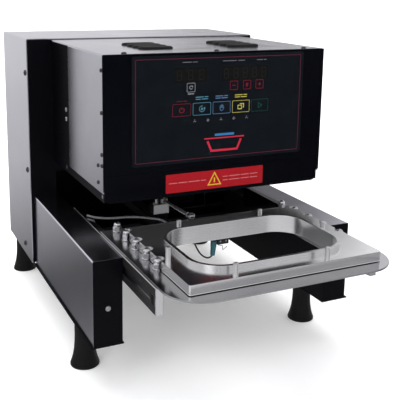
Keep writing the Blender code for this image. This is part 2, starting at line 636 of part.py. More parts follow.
def drawer_drive(steel, black, rubber, chrome, slide):
    """Carriage block, tie rod, toothed belt, pulleys, their frame and the gearmotor."""
    block_x = (-BLOCK_HALF_WIDTH, BLOCK_HALF_WIDTH)
    block_y = (BLOCK_FRONT, BLOCK_REAR)
    block = box("carriage_block", block_x, block_y, (BLOCK_BOTTOM, BLOCK_TOP), steel, 0.6 * MM)
    bolt_x, bolt_y = ROD_BOLT
    eye_top = BLOCK_TOP + 7 * MM
    head_bolt = [(0, eye_top + 5 * MM), (5 * MM, eye_top + 5 * MM), (5 * MM, eye_top + GAP)]
    head_bolt += [(3 * MM, eye_top + GAP), (3 * MM, BLOCK_TOP - 2 * MM), (0, BLOCK_TOP - 2 * MM)]
    clamp_bolt = [(0, BLOCK_TOP + 8 * MM), (5 * MM, BLOCK_TOP + 8 * MM), (5 * MM, BLOCK_TOP - 2 * MM)]
    clamp_bolt += [(0, BLOCK_TOP - 2 * MM)]
    jaw_y = (BLOCK_FRONT - 1 * MM, BLOCK_FRONT + 7 * MM)
    pad_y = (BLOCK_FRONT, BLOCK_FRONT + 7 * MM)
    under_belt = BELT_Z + PULLEY_RADIUS
    over_belt = under_belt + BELT_THICKNESS + 2 * GAP
    union(
        block,
        box("pad", (-7 * MM, 11 * MM), pad_y, (over_belt, BLOCK_BOTTOM + 2 * MM), steel),
        box("jaw", (-7 * MM, 11 * MM), jaw_y, (under_belt - 2.4 * MM, under_belt), steel),
        box("cheek", (8.2 * MM, 11 * MM), jaw_y, (under_belt - 2.4 * MM, BLOCK_BOTTOM + 3 * MM), steel),
        turned("bolt", head_bolt, "Z", (bolt_x, bolt_y, 0), steel, 16),
        turned("bolt", clamp_bolt, "Z", (-6.5 * MM, bolt_y, 0), steel, 16),
    )

    eye = [(7 * MM, BLOCK_TOP + GAP), (7 * MM, eye_top), (3.3 * MM, eye_top), (3.3 * MM, BLOCK_TOP + GAP)]
    tie = turned("tie_rod", eye, "Z", (bolt_x, bolt_y, 0), chrome, 24)
    ball_x, ball_y, ball_z = ROD_BALL
    start = Vector((bolt_x, bolt_y, (BLOCK_TOP + eye_top) / 2))
    end = Vector(ROD_BALL)
    reach = (end - start).normalized()
    shank = rod("shank", start + reach * 5 * MM, end, 2.5 * MM, chrome, 12)
    socket = rod("socket", end - reach * 16 * MM, end, 3.6 * MM, chrome, 12)
    ball = [(0, ball_z + 6 * MM)]
    for angle in range(30, 150, 30):
        turn = math.radians(angle)
        ball.append((6 * MM * math.sin(turn), ball_z + 6 * MM * math.cos(turn)))
    ball += [(3 * MM, ball_z - 5.2 * MM), (3 * MM, PLATE_TOP + GAP), (0, PLATE_TOP + GAP)]
    union(tie, shank, socket, turned("ball", ball, "Z", (ball_x, ball_y, 0), chrome, 16))
    carry(slide, block, tie)

    def belt_loop(radius):
        rear = arc((DRIVE_PULLEY_Y, BELT_Z), radius, -90, 90, 8)
        return rear + arc((IDLER_Y, BELT_Z), radius, 90, 270, 8)

    inside = PULLEY_RADIUS + GAP
    belt_x = (-BELT_HALF_WIDTH, BELT_HALF_WIDTH)
    outer, inner = belt_loop(inside + BELT_THICKNESS), belt_loop(inside)
    smooth(ring_prism("drive_belt", outer, inner, "X", belt_x, rubber))

    half = BELT_HALF_WIDTH + 0.5 * MM
    rim = half + 1 * MM
    tall = PULLEY_RADIUS + 1.5 * MM
    wheel = [(tall, -rim), (tall, -half), (PULLEY_RADIUS, -half), (PULLEY_RADIUS, half), (tall, half)]
    wheel += [(tall, rim)]
    idler_profile = wheel + [(3.1 * MM, rim), (3.1 * MM, -rim)]
    idler_place = (0, IDLER_Y, BELT_Z)
    idler = turned("idler_pulley", idler_profile, "X", idler_place, steel, 20)
    carry(axis_empty("idler_axis", idler_place), idler)

    shaft = [(0, -rim), *wheel, (3 * MM, rim), (3 * MM, 30 * MM), (0, 30 * MM)]
    drive_place = (0, DRIVE_PULLEY_Y, BELT_Z)
    drive = turned("drive_pulley", shaft, "X", drive_place, steel, 20)
    carry(axis_empty("drive_pulley_axis", drive_place), drive)

    frame_z = (BELT_FRAME_BOTTOM, BELT_FRAME_TOP)
    frame = box("belt_frame", (-13.5 * MM, 13.5 * MM), (58 * MM, 312 * MM), frame_z, black)
    parts = [rod("axle", (-13 * MM, IDLER_Y, BELT_Z), (13 * MM, IDLER_Y, BELT_Z), 3 * MM, black)]
    cheek_z = (BELT_FRAME_TOP - 1 * MM, BELT_Z + 6.8 * MM)
    for side in (-1, 1):
        cheek_x = sorted((side * 10.5 * MM, side * 13.5 * MM))
        parts.append(box("cheek", cheek_x, (59 * MM, 75 * MM), cheek_z, black))
    post_z = (72.6 * MM, BELT_FRAME_BOTTOM + 1 * MM)
    for y in (180 * MM, 285 * MM):
        parts.append(box("post", (-10 * MM, 10 * MM), (y, y + 12 * MM), post_z, black))
    union(frame, *parts)

    gearbox_y = (DRIVE_PULLEY_Y - 16 * MM, DRIVE_PULLEY_Y + 14 * MM)
    gearbox_z = (BELT_Z - 16 * MM, BELT_Z + 17 * MM)
    gearbox = box("drawer_gearmotor", (15 * MM, 43 * MM), gearbox_y, gearbox_z, steel, 1 * MM)
    ends = ((42 * MM, DRIVE_PULLEY_Y, BELT_Z), (98 * MM, DRIVE_PULLEY_Y, BELT_Z))
    can = rod("can", *ends, 13.2 * MM, steel, 24)
    union(gearbox, can)
    ends = ((10 * MM, DRIVE_PULLEY_Y, BELT_Z), (32 * MM, DRIVE_PULLEY_Y, BELT_Z))
    cut(gearbox, rod("bore", *ends, 3.2 * MM, steel))


def press(steel, aluminium, chrome):
    """Gearmotor, screw, carrier with its columns, heated platen and trimming knife."""
    centre = (PRESS_X, PRESS_Y)

    def outline(half_x, half_y, radius):
        return rounded(centre, (half_x, half_y), radius, 8)

    gearbox_x = (PRESS_X - 28 * MM, PRESS_X + 28 * MM)
    gearbox_z = (BRIDGE_TOP + GAP, 386 * MM)
    gearbox = box("press_gearmotor", gearbox_x, (-38 * MM, 12 * MM), gearbox_z, steel, 1.5 * MM)
    union(gearbox, rod("can", (PRESS_X, 10 * MM, 369 * MM), (PRESS_X, 92 * MM, 369 * MM), 16 * MM, steel, 24))

    screw_top = BRIDGE_TOP - 0.1 * MM
    profile = [(0, screw_top), (SCREW_RADIUS, screw_top), (SCREW_RADIUS, 280 * MM)]
    profile += [(SCREW_RADIUS - 1 * MM, 279 * MM), (0, 279 * MM)]
    screw = turned("press_screw", profile, "Z", (*centre, 0), chrome, 24)
    carry(axis_empty("press_screw_axis", (*centre, BRIDGE_TOP)), screw)

    carrier_span = (CARRIER_BOTTOM, CARRIER_TOP)
    carrier = prism("platen_carrier", outline(109 * MM, 75.6 * MM, 44.5 * MM), "Z", carrier_span, steel)
    parts = [rod("nut", (*centre, 283 * MM), (*centre, 338 * MM), 13 * MM, steel, 24)]
    for side in (-1, 1):
        x = PRESS_X + side * COLUMN_OFFSET
        parts.append(rod("column", (x, PRESS_Y, 283 * MM), (x, PRESS_Y, 400 * MM), COLUMN_RADIUS, steel, 20))
    union(carrier, *parts)
    ends = ((*centre, 270 * MM), (*centre, 350 * MM))
    cut(carrier, rod("bore", *ends, SCREW_RADIUS + 0.6 * MM, steel, 24))

    platen_span = (PLATEN_BOTTOM, PLATEN_TOP)
    platen = prism("heated_platen", outline(106 * MM, 72.6 * MM, 43 * MM), "Z", platen_span, aluminium)
    posts = []
    for side_x in (-1, 1):
        for side_y in (-1, 1):
            x, y = PRESS_X + side_x * 60 * MM, PRESS_Y + side_y * 45 * MM
            ends = ((x, y, PLATEN_TOP - 2 * MM), (x, y, CARRIER_BOTTOM - GAP))
            posts.append(rod("spacer", *ends, 6 * MM, aluminium, 14))
    union(platen, *posts)

    outer = outline(108.7 * MM, 75.3 * MM, 44.5 * MM)
    inner = outline(107.5 * MM, 74.1 * MM, 43.3 * MM)
    knife = smooth(ring_prism("trim_knife", outer, inner, "Z", (KNIFE_BOTTOM, CARRIER_BOTTOM - GAP), chrome))
    carry(axis_empty("press_axis", (*centre, CARRIER_TOP)), carrier, platen, knife)


def film_path(steel, black, plastic):
    """Bracket, supply and rewind spindles, rewind motor and guide rollers."""
    cheek_y = (HOUSING_FRONT + 2.9 * MM, SPINDLE_Y + 25 * MM)
    cheeks, holes = [], []
    for side in (-1, 1):
        x = sorted((side * BRACKET_X, side * (BRACKET_X + 3 * MM)))
        cheeks.append(box("spindle_bracket", x, cheek_y, (236 * MM, 412 * MM), black))
        for z in (SUPPLY_Z, REWIND_Z):
            ends = ((side * (BRACKET_X - 5 * MM), SPINDLE_Y, z), (side * (BRACKET_X + 8 * MM), SPINDLE_Y, z))
            holes.append(rod("hole", *ends, 5.2 * MM, black, 20))
    bar_x = (-BRACKET_X - 1 * MM, BRACKET_X + 1 * MM)
    bar_y = (HOUSING_FRONT + 4 * MM, HOUSING_FRONT + 16 * MM)
    cross_bar = box("cross_bar", bar_x, bar_y, (236 * MM, 240 * MM), black)
    union(cheeks[0], cheeks[1], cross_bar)
    cut(cheeks[0], *holes)

    half = [(0, 158 * MM), (5 * MM, 158 * MM), (5 * MM, 149 * MM), (8 * MM, 149 * MM), (8 * MM, 112 * MM)]
    half += [(26 * MM, 112 * MM), (26 * MM, 106 * MM), (12 * MM, 84 * MM), (8 * MM, 84 * MM)]
    profile = half + [(radius, -along) for radius, along in reversed(half)]
    for name, z in (("film_spindle", SUPPLY_Z), ("rewind_spindle", REWIND_Z)):
        place = (0, SPINDLE_Y, z)
        spindle = turned(name, profile, "X", place, plastic, 16)
        carry(axis_empty(name + "_axis", place), spindle)

    motor_x = (BRACKET_X + 3.3 * MM, BRACKET_X + 14 * MM)
    motor_y = (SPINDLE_Y - 20 * MM, SPINDLE_Y + 20 * MM)
    motor = box("rewind_motor", motor_x, motor_y, (REWIND_Z - 20 * MM, REWIND_Z + 20 * MM), steel, 1 * MM)
    ends = ((motor_x[1] - 1 * MM, SPINDLE_Y, REWIND_Z), (HOUSING_HALF_WIDTH - 6 * MM, SPINDLE_Y, REWIND_Z))
    union(motor, rod("can", *ends, 16 * MM, steel, 24))
    ends = ((BRACKET_X, SPINDLE_Y, REWIND_Z), (BRACKET_X + 9 * MM, SPINDLE_Y, REWIND_Z))
    cut(motor, rod("bore", *ends, 5.3 * MM, steel))

    for name, y, radius in (("front", FRONT_ROLLER_Y, 5 * MM), ("rear", REAR_ROLLER_Y, 6 * MM)):
        body = (HEAD_LEFT + 7 * MM, HEAD_RIGHT - 7 * MM)
        tips = (HEAD_LEFT + 2 * MM, HEAD_RIGHT - 2 * MM)
        profile = [(0, tips[0]), (3 * MM, tips[0]), (3 * MM, body[0]), (radius, body[0])]
        profile += [(radius, body[1]), (3 * MM, body[1]), (3 * MM, tips[1]), (0, tips[1])]
        roller = turned(name + "_film_roller", profile, "X", (0, y, ROLLER_Z), steel, 20)
        carry(axis_empty(name + "_roller_axis", (0, y, ROLLER_Z)), roller)


def electrics(plastic, board_finish, cable_black, cable_grey, steel, slide):
    """Power supply, mains inlet with its rocker, tray switch and its cables."""
    supply_x, supply_y = (-185 * MM, -85 * MM), (165 * MM, 265 * MM)
    supply = box("power_supply", supply_x, supply_y, (72.9 * MM, 108 * MM), steel, 1 * MM)
    terminal_y = (150 * MM + 6 * MM, 170 * MM)
    union(supply, box("terminals", (-175 * MM, -95 * MM), terminal_y, (76 * MM, 92 * MM), board_finish))

    flange_y = (REAR_PANEL_Y + SHEET + GAP, REAR_PANEL_Y + SHEET + 2.3 * MM)
    flange_x = (INLET_X - 25 * MM, INLET_X + 25 * MM)
    inlet = box("mains_inlet", flange_x, flange_y, (88 * MM, 152 * MM), plastic, 0.5 * MM)
    body_x = (INLET_X - 22 * MM, INLET_X + 22 * MM)
    body = box("body", body_x, (290 * MM, flange_y[1] - 0.5 * MM), (92 * MM, 148 * MM), plastic)
    union(inlet, body)
    socket_x = (INLET_X - 12 * MM, INLET_X + 12 * MM)
    socket = box("socket", socket_x, (304 * MM, 330 * MM), (98 * MM, 114 * MM), plastic)
    window_x = (INLET_X - 11 * MM, INLET_X + 11 * MM)
    window_z = (ROCKER_Z - 9.5 * MM, ROCKER_Z + 9.5 * MM)
    window = box("window", window_x, (303 * MM, 330 * MM), window_z, plastic)
    cut(inlet, socket, window)
    blades = []
    for x, z in ((-7 * MM, 104 * MM), (0, 108 * MM), (7 * MM, 104 * MM)):
        blade_x = (INLET_X + x - 1 * MM, INLET_X + x + 1 * MM)
        blades.append(box("blade", blade_x, (302 * MM, 317 * MM), (z - 2 * MM, z + 2 * MM), plastic))
    union(inlet, *blades)

    shape = [(5, 8.2), (3.2, 0), (5, -8.2), (-6, -6), (-6, 6)]
    outline = []
    for y, z in shape:
        turn = Matrix.Rotation(ROCKER_TILT, 2)
        spot = turn @ Vector((y * MM, z * MM))
        outline.append((ROCKER_PIVOT_Y + spot.x, ROCKER_Z + spot.y))
    rocker_x = (INLET_X - 10.6 * MM, INLET_X + 10.6 * MM)
    rocker = prism("power_rocker", outline, "X", rocker_x, plastic)
    carry(axis_empty("rocker_axis", (INLET_X, ROCKER_PIVOT_Y, ROCKER_Z)), rocker)

    case_y = (SWITCH_Y - 3 * MM, SWITCH_Y + 3 * MM)
    case = box("tray_switch", (3 * MM, 21 * MM), case_y, (163 * MM, 173 * MM), plastic, 0.4 * MM)
    hanger_y = (SWITCH_Y - 1 * MM, SWITCH_Y + 1 * MM)
    union(case, box("hanger", (5 * MM, 19 * MM), hanger_y, (172 * MM, BAR_TOP), plastic))
    pivot = Vector(LEVER_PIVOT)
    knee = pivot + Vector((7.6 * MM, 0, -2.2 * MM))
    heel = pivot + Vector((7.9 * MM, 0, -8 * MM))
    tip = pivot + Vector((15 * MM, 0, -4 * MM))
    lever = rod("switch_lever", pivot, knee, 0.6 * MM, steel, 8)
    union(
        lever,
        rod("drop", knee + Vector((0, 0, 0.5 * MM)), heel, 0.55 * MM, steel, 8),
        rod("rise", heel + Vector((-0.3 * MM, 0, 0)), tip, 0.55 * MM, steel, 8),
    )
    carry(axis_empty("lever_axis", LEVER_PIVOT), lever)
    lead_places = [
        (1.6, 167), (-0.4, 160), (-1.2, 151), (-6, 146),
        (-12.3, 145.4), (-22, 152.5), (-31.5, 169), (-36, 184),
    ]
    route = [(x * MM, SWITCH_Y, z * MM) for x, z in lead_places]
    lead = cable("switch_lead", route, 1 * MM, cable_black)
    route = [
        (-50, -64.5, 181), (-53, -62.5, 187), (-60, -56, 190.5), (-70, -46, 190.6), (-85, -33, 190.4),
        (-102, -25.5, 190.2), (-120, -22, 190), (-133, -15, 189.6), (-142, -5, 188.9), (-149, 8, 188.5),
    ]
    sensor = cable("sensor_cable", [(x * MM, y * MM, z * MM) for x, y, z in route], 1.5 * MM, cable_grey)
    carry(slide, case, lead, sensor)
    carry(slide, bpy.data.objects["lever_axis"])


def build():
    for item in list(bpy.data.objects):
        bpy.data.objects.remove(item)
    paint = finish("grey_paint", (0.52, 0.51, 0.55), 0.4, 0.35)
    black = finish("black_paint", (0.012, 0.013, 0.016), 0.25, 0.0)
    rubber = finish("black_rubber", (0.02, 0.02, 0.02), 0.7, 0.0)
    steel = finish("steel", (0.55, 0.55, 0.57), 0.35, 1.0)
    bright = finish("polished_steel", (0.7, 0.7, 0.72), 0.12, 1.0)
    aluminium = finish("aluminium", (0.62, 0.62, 0.63), 0.32, 1.0)
    chrome = finish("chrome", (0.8, 0.8, 0.8), 0.1, 1.0)
    foil = finish("keypad_print", (0.02, 0.03, 0.04), 0.3, 0.0)
    board = finish("circuit_board", (0.02, 0.12, 0.05), 0.5, 0.0)
    plastic = finish("black_plastic", (0.02, 0.02, 0.02), 0.45, 0.0)
    cable_black = finish("black_cable", (0.01, 0.01, 0.01), 0.5, 0.0)
    cable_grey = finish("grey_cable", (0.3, 0.3, 0.32), 0.5, 0.0)

    housing(paint, black)
    for side, name in ((-1, "left"), (1, "right")):
        arm(side, name, paint, black)
        foot(f"foot_front_{name}", side * FOOT_X, FRONT_FOOT_Y, ARM_BOTTOM - GAP, rubber)
        foot(f"foot_rear_{name}", side * FOOT_X, REAR_FOOT_Y, HOUSING_BOTTOM - GAP, rubber)
    head(paint, black)
    keypad(foil, board)
    slide = axis_empty("drawer_axis", (0, PLATE_REAR, PLATE_TOP))
    die(bright, aluminium, slide)
    for side, name in ((-1, "left"), (1, "right")):
        nut_rail(side, name, chrome, slide)
        bar(side, name, steel, slide)
    drawer_drive(steel, black, rubber, chrome, slide)
    press(steel, aluminium, chrome)
    film_path(steel, black, plastic)
    electrics(plastic, board, cable_black, cable_grey, chrome, slide)


build()
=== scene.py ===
"""Looks of the table-top tray sealing machine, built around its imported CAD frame.

Metres, in the frame's own axes: the machine faces -Y, the drawer is out at rest and slides in along +Y.
"""

import json
import math

import bmesh
import bpy
from mathutils import Matrix, Vector


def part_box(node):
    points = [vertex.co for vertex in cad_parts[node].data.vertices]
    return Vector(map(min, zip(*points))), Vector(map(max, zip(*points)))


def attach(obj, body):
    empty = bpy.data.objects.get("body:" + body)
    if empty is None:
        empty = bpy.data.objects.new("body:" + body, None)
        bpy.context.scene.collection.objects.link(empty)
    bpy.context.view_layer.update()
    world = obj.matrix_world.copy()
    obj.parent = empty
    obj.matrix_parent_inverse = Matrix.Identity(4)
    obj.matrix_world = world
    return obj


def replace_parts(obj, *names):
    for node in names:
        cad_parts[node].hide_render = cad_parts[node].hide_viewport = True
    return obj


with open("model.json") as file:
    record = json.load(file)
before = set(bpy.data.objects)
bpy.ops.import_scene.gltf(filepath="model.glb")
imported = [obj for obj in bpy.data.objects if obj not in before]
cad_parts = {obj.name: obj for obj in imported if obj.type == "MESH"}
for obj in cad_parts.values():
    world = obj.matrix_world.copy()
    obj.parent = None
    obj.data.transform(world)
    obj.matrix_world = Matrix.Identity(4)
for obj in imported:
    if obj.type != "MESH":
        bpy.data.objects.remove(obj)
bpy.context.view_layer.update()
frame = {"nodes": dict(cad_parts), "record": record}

MM = 0.001


def mm(*values):
    """A place or size given in millimetres, in metres."""
    return tuple(value * MM for value in values)


SIDES = ((-1, "left"), (1, "right"))
SLOTS = {entry["node"]: entry["material_slot"] for entry in frame["record"]["subparts"]}
BODY_OF = {
    node: body
    for body, nodes in frame["record"]["behaviour"]["bodies"].items()
    for node in nodes
}

HOUSING_LOW, HOUSING_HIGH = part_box("housing_cover")
HEAD_LOW, HEAD_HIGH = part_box("head_cover")
PANEL_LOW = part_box("control_panel")[0]
LOWER_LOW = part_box("lower_front_panel")[0]
FOIL_LOW, FOIL_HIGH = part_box("keypad_foil")
PLATE_LOW, PLATE_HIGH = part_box("drawer_plate")
DIE_LOW, DIE_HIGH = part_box("tray_die")
REAR_LOW, REAR_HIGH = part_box("rear_panel")
INLET_LOW, INLET_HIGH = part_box("mains_inlet")
BLOCK_LOW, BLOCK_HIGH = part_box("carriage_block")
SWITCH_LOW, SWITCH_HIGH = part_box("tray_switch")

# Vent slots in the head's top, as in the CAD model
VENT_GROUPS = (("left", -62.5 * MM), ("right", 75.3 * MM))
VENT_FIRST_Y = 24 * MM
VENT_PITCH = -21.7 * MM

# Louvres in the rear panel, as in the CAD model
LOUVRE_X = 75 * MM
LOUVRE_FIRST_Z = 300 * MM
LOUVRE_PITCH = 14 * MM
LOUVRE_ROWS = 7

# Drawer die, as in the CAD model
OPENING_CENTRE = mm(-0.8, -213.2)
OPENING_HALF = mm(101, 67.6)
OPENING_CORNER = 38 * MM
LIP_WIDTH = 5 * MM
COLLAR_WIDTH = 2.4 * MM
DIE_TOP = 202.1 * MM
PRESS_Y = -13.2 * MM
LIP_TOP = 207.8 * MM
NUT_X = 132.5 * MM
NUT_ROWS = [(-76 - 36 * k) * MM for k in range(5)]
RAIL_INNER = 126 * MM
PIN_RADIUS = 3.2 * MM
TALL_PIN_TOP = 217.5 * MM
SHORT_PIN_TOP = 212.5 * MM
PINS = [
    (-62.9 * MM, -127 * MM, SHORT_PIN_TOP), (62.9 * MM, -127 * MM, SHORT_PIN_TOP),
    (-71.7 * MM, -301.2 * MM, TALL_PIN_TOP), (53.5 * MM, -301.2 * MM, TALL_PIN_TOP),
    (-122.1 * MM, -226.7 * MM, TALL_PIN_TOP), (112.7 * MM, -208.3 * MM, SHORT_PIN_TOP),
]


# ---------------------------------------------------------------- materials


class Finish:
    """A Principled material, with short ways to add texture to it."""

    def __init__(self, name, colour, roughness, metallic=0.0, specular=0.5):
        self.material = bpy.data.materials.new(name)
        self.material.use_nodes = True
        self.material.diffuse_color = (*colour, 1.0)
        self.tree = self.material.node_tree
        self.shader = self.tree.nodes["Principled BSDF"]
        self.put("Base Color", (*colour, 1.0))
        self.put("Roughness", roughness)
        self.put("Metallic", metallic)
        self.put("Specular IOR Level", specular)
        self.place = self.tree.nodes.new("ShaderNodeTexCoord").outputs["Object"]
        self.normal = None

    def put(self, socket, value):
        self.shader.inputs[socket].default_value = value

    def noise(self, scale, detail=2.0, stretch=(1.0, 1.0, 1.0)):
        """Noise over the object's own coordinates; scale is in cells per metre."""
        mapping = self.tree.nodes.new("ShaderNodeMapping")
        mapping.inputs["Scale"].default_value = stretch
        node = self.tree.nodes.new("ShaderNodeTexNoise")
        node.inputs["Scale"].default_value = scale
        node.inputs["Detail"].default_value = detail
        self.tree.links.new(self.place, mapping.inputs["Vector"])
        self.tree.links.new(mapping.outputs["Vector"], node.inputs["Vector"])
        return node.outputs["Fac"]

    def ramp(self, factor, low, high, start=0.3, end=0.7):
        """A value or colour that follows a factor between two stops."""
        node = self.tree.nodes.new("ShaderNodeValToRGB")
        stops = node.color_ramp.elements
        stops[0].position, stops[1].position = start, end
        stops[0].color, stops[1].color = (*low, 1.0), (*high, 1.0)
        self.tree.links.new(factor, node.inputs["Fac"])
        return node.outputs["Color"]

    def colour(self, factor, low, high, start=0.3, end=0.7):
        made = self.ramp(factor, low, high, start, end)
        self.tree.links.new(made, self.shader.inputs["Base Color"])
        return self

    def roughness(self, factor, low, high):
        made = self.ramp(factor, (low,) * 3, (high,) * 3)
        self.tree.links.new(made, self.shader.inputs["Roughness"])
        return self

    def bump(self, factor, strength, depth):
        """Adds a height to the surface; depth is in metres."""
        node = self.tree.nodes.new("ShaderNodeBump")
        node.inputs["Strength"].default_value = strength
        node.inputs["Distance"].default_value = depth
        self.tree.links.new(factor, node.inputs["Height"])
        if self.normal is not None:
            self.tree.links.new(self.normal, node.inputs["Normal"])
        self.normal = node.outputs["Normal"]
        self.tree.links.new(self.normal, self.shader.inputs["Normal"])
        return self


def surface(name, colour, roughness, metallic=0.0, specular=0.5, tints=None, shine=None, grain=None):
    """A material whose colour, roughness and height vary by noise.

    Each of the last three begins with the noise's cells per metre and its detail. Then tints has two colours,
    shine has two roughnesses, and grain has the height's strength and depth.
    """
    made = Finish(name, colour, roughness, metallic, specular)
    for add, rule in ((made.colour, tints), (made.roughness, shine), (made.bump, grain)):
        if rule:
            add(made.noise(*rule[:2]), *rule[2:])
    return made.material


def toned(colour, share):
    return tuple(share * value for value in colour)


def grey_paint(name="grey_paint", tone=1.0):
    """Satin grey metallic finish, smooth enough to mirror what stands near it. A tone other than 1 gives a
    lighter or darker copy, which paints light or shade.
    """
    base = toned((0.6, 0.595, 0.645), tone)
    tints = (2600, 1.0, toned(base, 0.915), toned(base, 1.085), 0.35, 0.65)
    return surface(name, base, 0.2, 1.0, 0.5, tints, (25, 5.0, 0.185, 0.215), (900, 2.0, 0.1, 0.00001))


def black_paint():
    """Black powder coat, satin, with a fine grain."""
    tints = (900, 3.0, (0.0016, 0.0016, 0.0026), (0.003, 0.003, 0.0046))
    shine, grain = (300, 3.0, 0.36, 0.5), (1300, 2.0, 0.3, 0.00005)
    return surface("black_paint", (0.004, 0.004, 0.006), 0.42, 0.0, 0.05, tints, shine, grain)


def gloss_black():
    """Glossy black paint on the head's front."""
    shine, grain = (60, 4.0, 0.12, 0.22), (350, 2.0, 0.12, 0.00003)
    return surface("gloss_black", (0.0016, 0.0018, 0.0032), 0.16, 0.0, 0.05, None, shine, grain)


def rubber(name, tone):
    """Matt black rubber with a fine moulded grain."""
    tints = (120, 4.0, (tone * 0.7,) * 3, (tone * 1.5,) * 3)
    shine, grain = (260, 4.0, 0.42, 0.62), (1800, 2.0, 0.3, 0.00006)
    return surface(name, (tone,) * 3, 0.5, 0.0, 0.16, tints, shine, grain)


def keypad_print():
    """Dark blue-black printed foil with a fine matt grain."""
    tints = (45, 3.0, (0.003, 0.0048, 0.007), (0.0044, 0.0064, 0.0092))
    shine, grain = (1600, 2.0, 0.28, 0.4), (2400, 1.0, 0.15, 0.00002)
    return surface("keypad_print", (0.0038, 0.0058, 0.0084), 0.33, 0.0, 0.06, tints, shine, grain)


def plain_print(name, colour):
    """Ink on the keypad or the label, with the slight unevenness of screen print."""
    tints = (900, 2.0, toned(colour, 0.86), colour)
    return surface(name, colour, 0.42, 0.0, 0.1, tints, None, (2600, 1.0, 0.1, 0.00001))


def brushed(name, tone, roughness, along=(1.0, 60.0, 60.0), tint=1.0, depth=0.000004):
    """Metal brushed or milled along one axis."""
    base = (tone, tone, tone * tint)
    made = Finish(name, base, roughness, metallic=1.0)
    lines = made.noise(40, 3.0, along)
    made.colour(made.noise(14, 4.0), toned(base, 0.93), toned(base, 1.05))
    made.roughness(lines, roughness * 0.8, roughness * 1.25)
    made.bump(lines, 0.25, depth)
    return made.material


def polished_steel():
    """Smooth stainless sheet with faint drawn lines and handling marks."""
    made = Finish("polished_steel", (0.38, 0.38, 0.39), 0.17, metallic=1.0)
    made.colour(made.noise(9, 4.0), (0.34, 0.34, 0.35), (0.42, 0.42, 0.43))
    made.roughness(made.noise(30, 5.0), 0.14, 0.21)
    made.bump(made.noise(30, 3.0, (1.0, 70.0, 70.0)), 0.1, 0.000004)
    return made.material


def chrome():
    """Bright plating with faint clouding."""
    shine, grain = (240, 4.0, 0.08, 0.15), (500, 2.0, 0.05, 0.00002)
    return surface("chrome", (0.68, 0.67, 0.66), 0.1, 1.0, 0.5, None, shine, grain)


def plated(name, tone, roughness):
    """Plated steel with a soft clouded surface."""
    low, high = 0.85 * tone, 1.15 * tone
    tints = (90, 5.0, (low, low, low * 1.02), (high, high, high * 1.02))
    shine, grain = (180, 4.0, roughness * 0.8, roughness * 1.3), (900, 3.0, 0.15, 0.00002)
    return surface(name, (tone, tone, tone * 1.02), roughness, 1.0, 0.5, tints, shine, grain)


def plastic(name, colour, roughness):
    """Moulded plastic with a spark-eroded grain."""
    tints = (200, 3.0, toned(colour, 0.8), toned(colour, 1.2))
    shine, grain = (500, 3.0, roughness * 0.85, roughness * 1.2), (2200, 2.0, 0.25, 0.00004)
    return surface(name, colour, roughness, 0.0, 0.35, tints, shine, grain)


def circuit_board():
    """Green solder mask with paler copper runs under it."""
    made = Finish("circuit_board", (0.01, 0.09, 0.035), 0.35)
    cells = made.tree.nodes.new("ShaderNodeTexBrick")
    cells.inputs["Scale"].default_value = 90
    cells.inputs["Color1"].default_value = (0.008, 0.075, 0.03, 1.0)
    cells.inputs["Color2"].default_value = (0.012, 0.1, 0.04, 1.0)
    cells.inputs["Mortar"].default_value = (0.03, 0.17, 0.07, 1.0)
    made.tree.links.new(made.place, cells.inputs["Vector"])
    made.tree.links.new(cells.outputs["Color"], made.shader.inputs["Base Color"])
    made.bump(made.noise(400, 3.0), 0.2, 0.00005)
    return made.material


def smoked_window():
    """Smoked display window in the keypad foil."""
    return surface("smoked_window", (0.0062, 0.006, 0.0058), 0.14, 0.0, 0.1, shine=(150, 3.0, 0.1, 0.2))


MATERIALS = {
    "grey_paint": grey_paint(),
    "black_paint": black_paint(),
    "slide_rail_steel": brushed("slide_rail_steel", 0.42, 0.3, (60.0, 1.0, 60.0)),
    "gloss_black": gloss_black(),
    "rubber": rubber("rubber", 0.0035),
    "belt_rubber": rubber("belt_rubber", 0.009),
    "keypad_print": keypad_print(),
    "circuit_board": circuit_board(),
    "polished_steel": polished_steel(),
    "die_aluminium": brushed("die_aluminium", 0.8, 0.21, (1.0, 30.0, 30.0), depth=0.0000004),
    "plated_steel": plated("plated_steel", 0.5, 0.34),
    "chrome": chrome(),
    "platen_aluminium": brushed("platen_aluminium", 0.36, 0.38),
    "black_plastic": plastic("black_plastic", (0.012, 0.012, 0.013), 0.45),
    "black_cable": plastic("black_cable", (0.008, 0.008, 0.009), 0.4),
    "grey_cable": plastic("grey_cable", (0.13, 0.13, 0.145), 0.4),
}
LIP_METAL = brushed("lip_metal", 0.74, 0.24)
PIN_METAL = brushed("pin_metal", 0.82, 0.34, (60.0, 60.0, 1.0))
DARK_STEEL = plated("dark_steel", 0.09, 0.3)
# Black for the dust mesh behind the rear louvres, and for the sheets under the head's vent slots, which paint
# the shade inside those slots
DUST_MESH_AND_SHADE = plastic("dust_mesh_and_vent_shade", (0.003, 0.003, 0.003), 0.8)
# Black for the thin sheet set back under the die's edge, which paints the shadow in the gap between die and
# plate
SHADOW_GAP_BLACK = plastic("shadow_gap_sheet", (0.004, 0.004, 0.004), 0.6)
BAR_METAL = brushed("bar_metal", 0.62, 0.13, (60.0, 1.0, 60.0), depth=0.000001)
NUT_METAL = plated("nut_metal", 0.66, 0.045)
VENT_PLASTIC = plastic("vent_plastic", (0.004, 0.0036, 0.0036), 0.6)
# A darker copy of the grey paint for the head cover: painted shade, where the head's side mirrors the black
# front panels
HEAD_PAINT_SHADED = grey_paint("head_paint_painted_shade", 0.86)
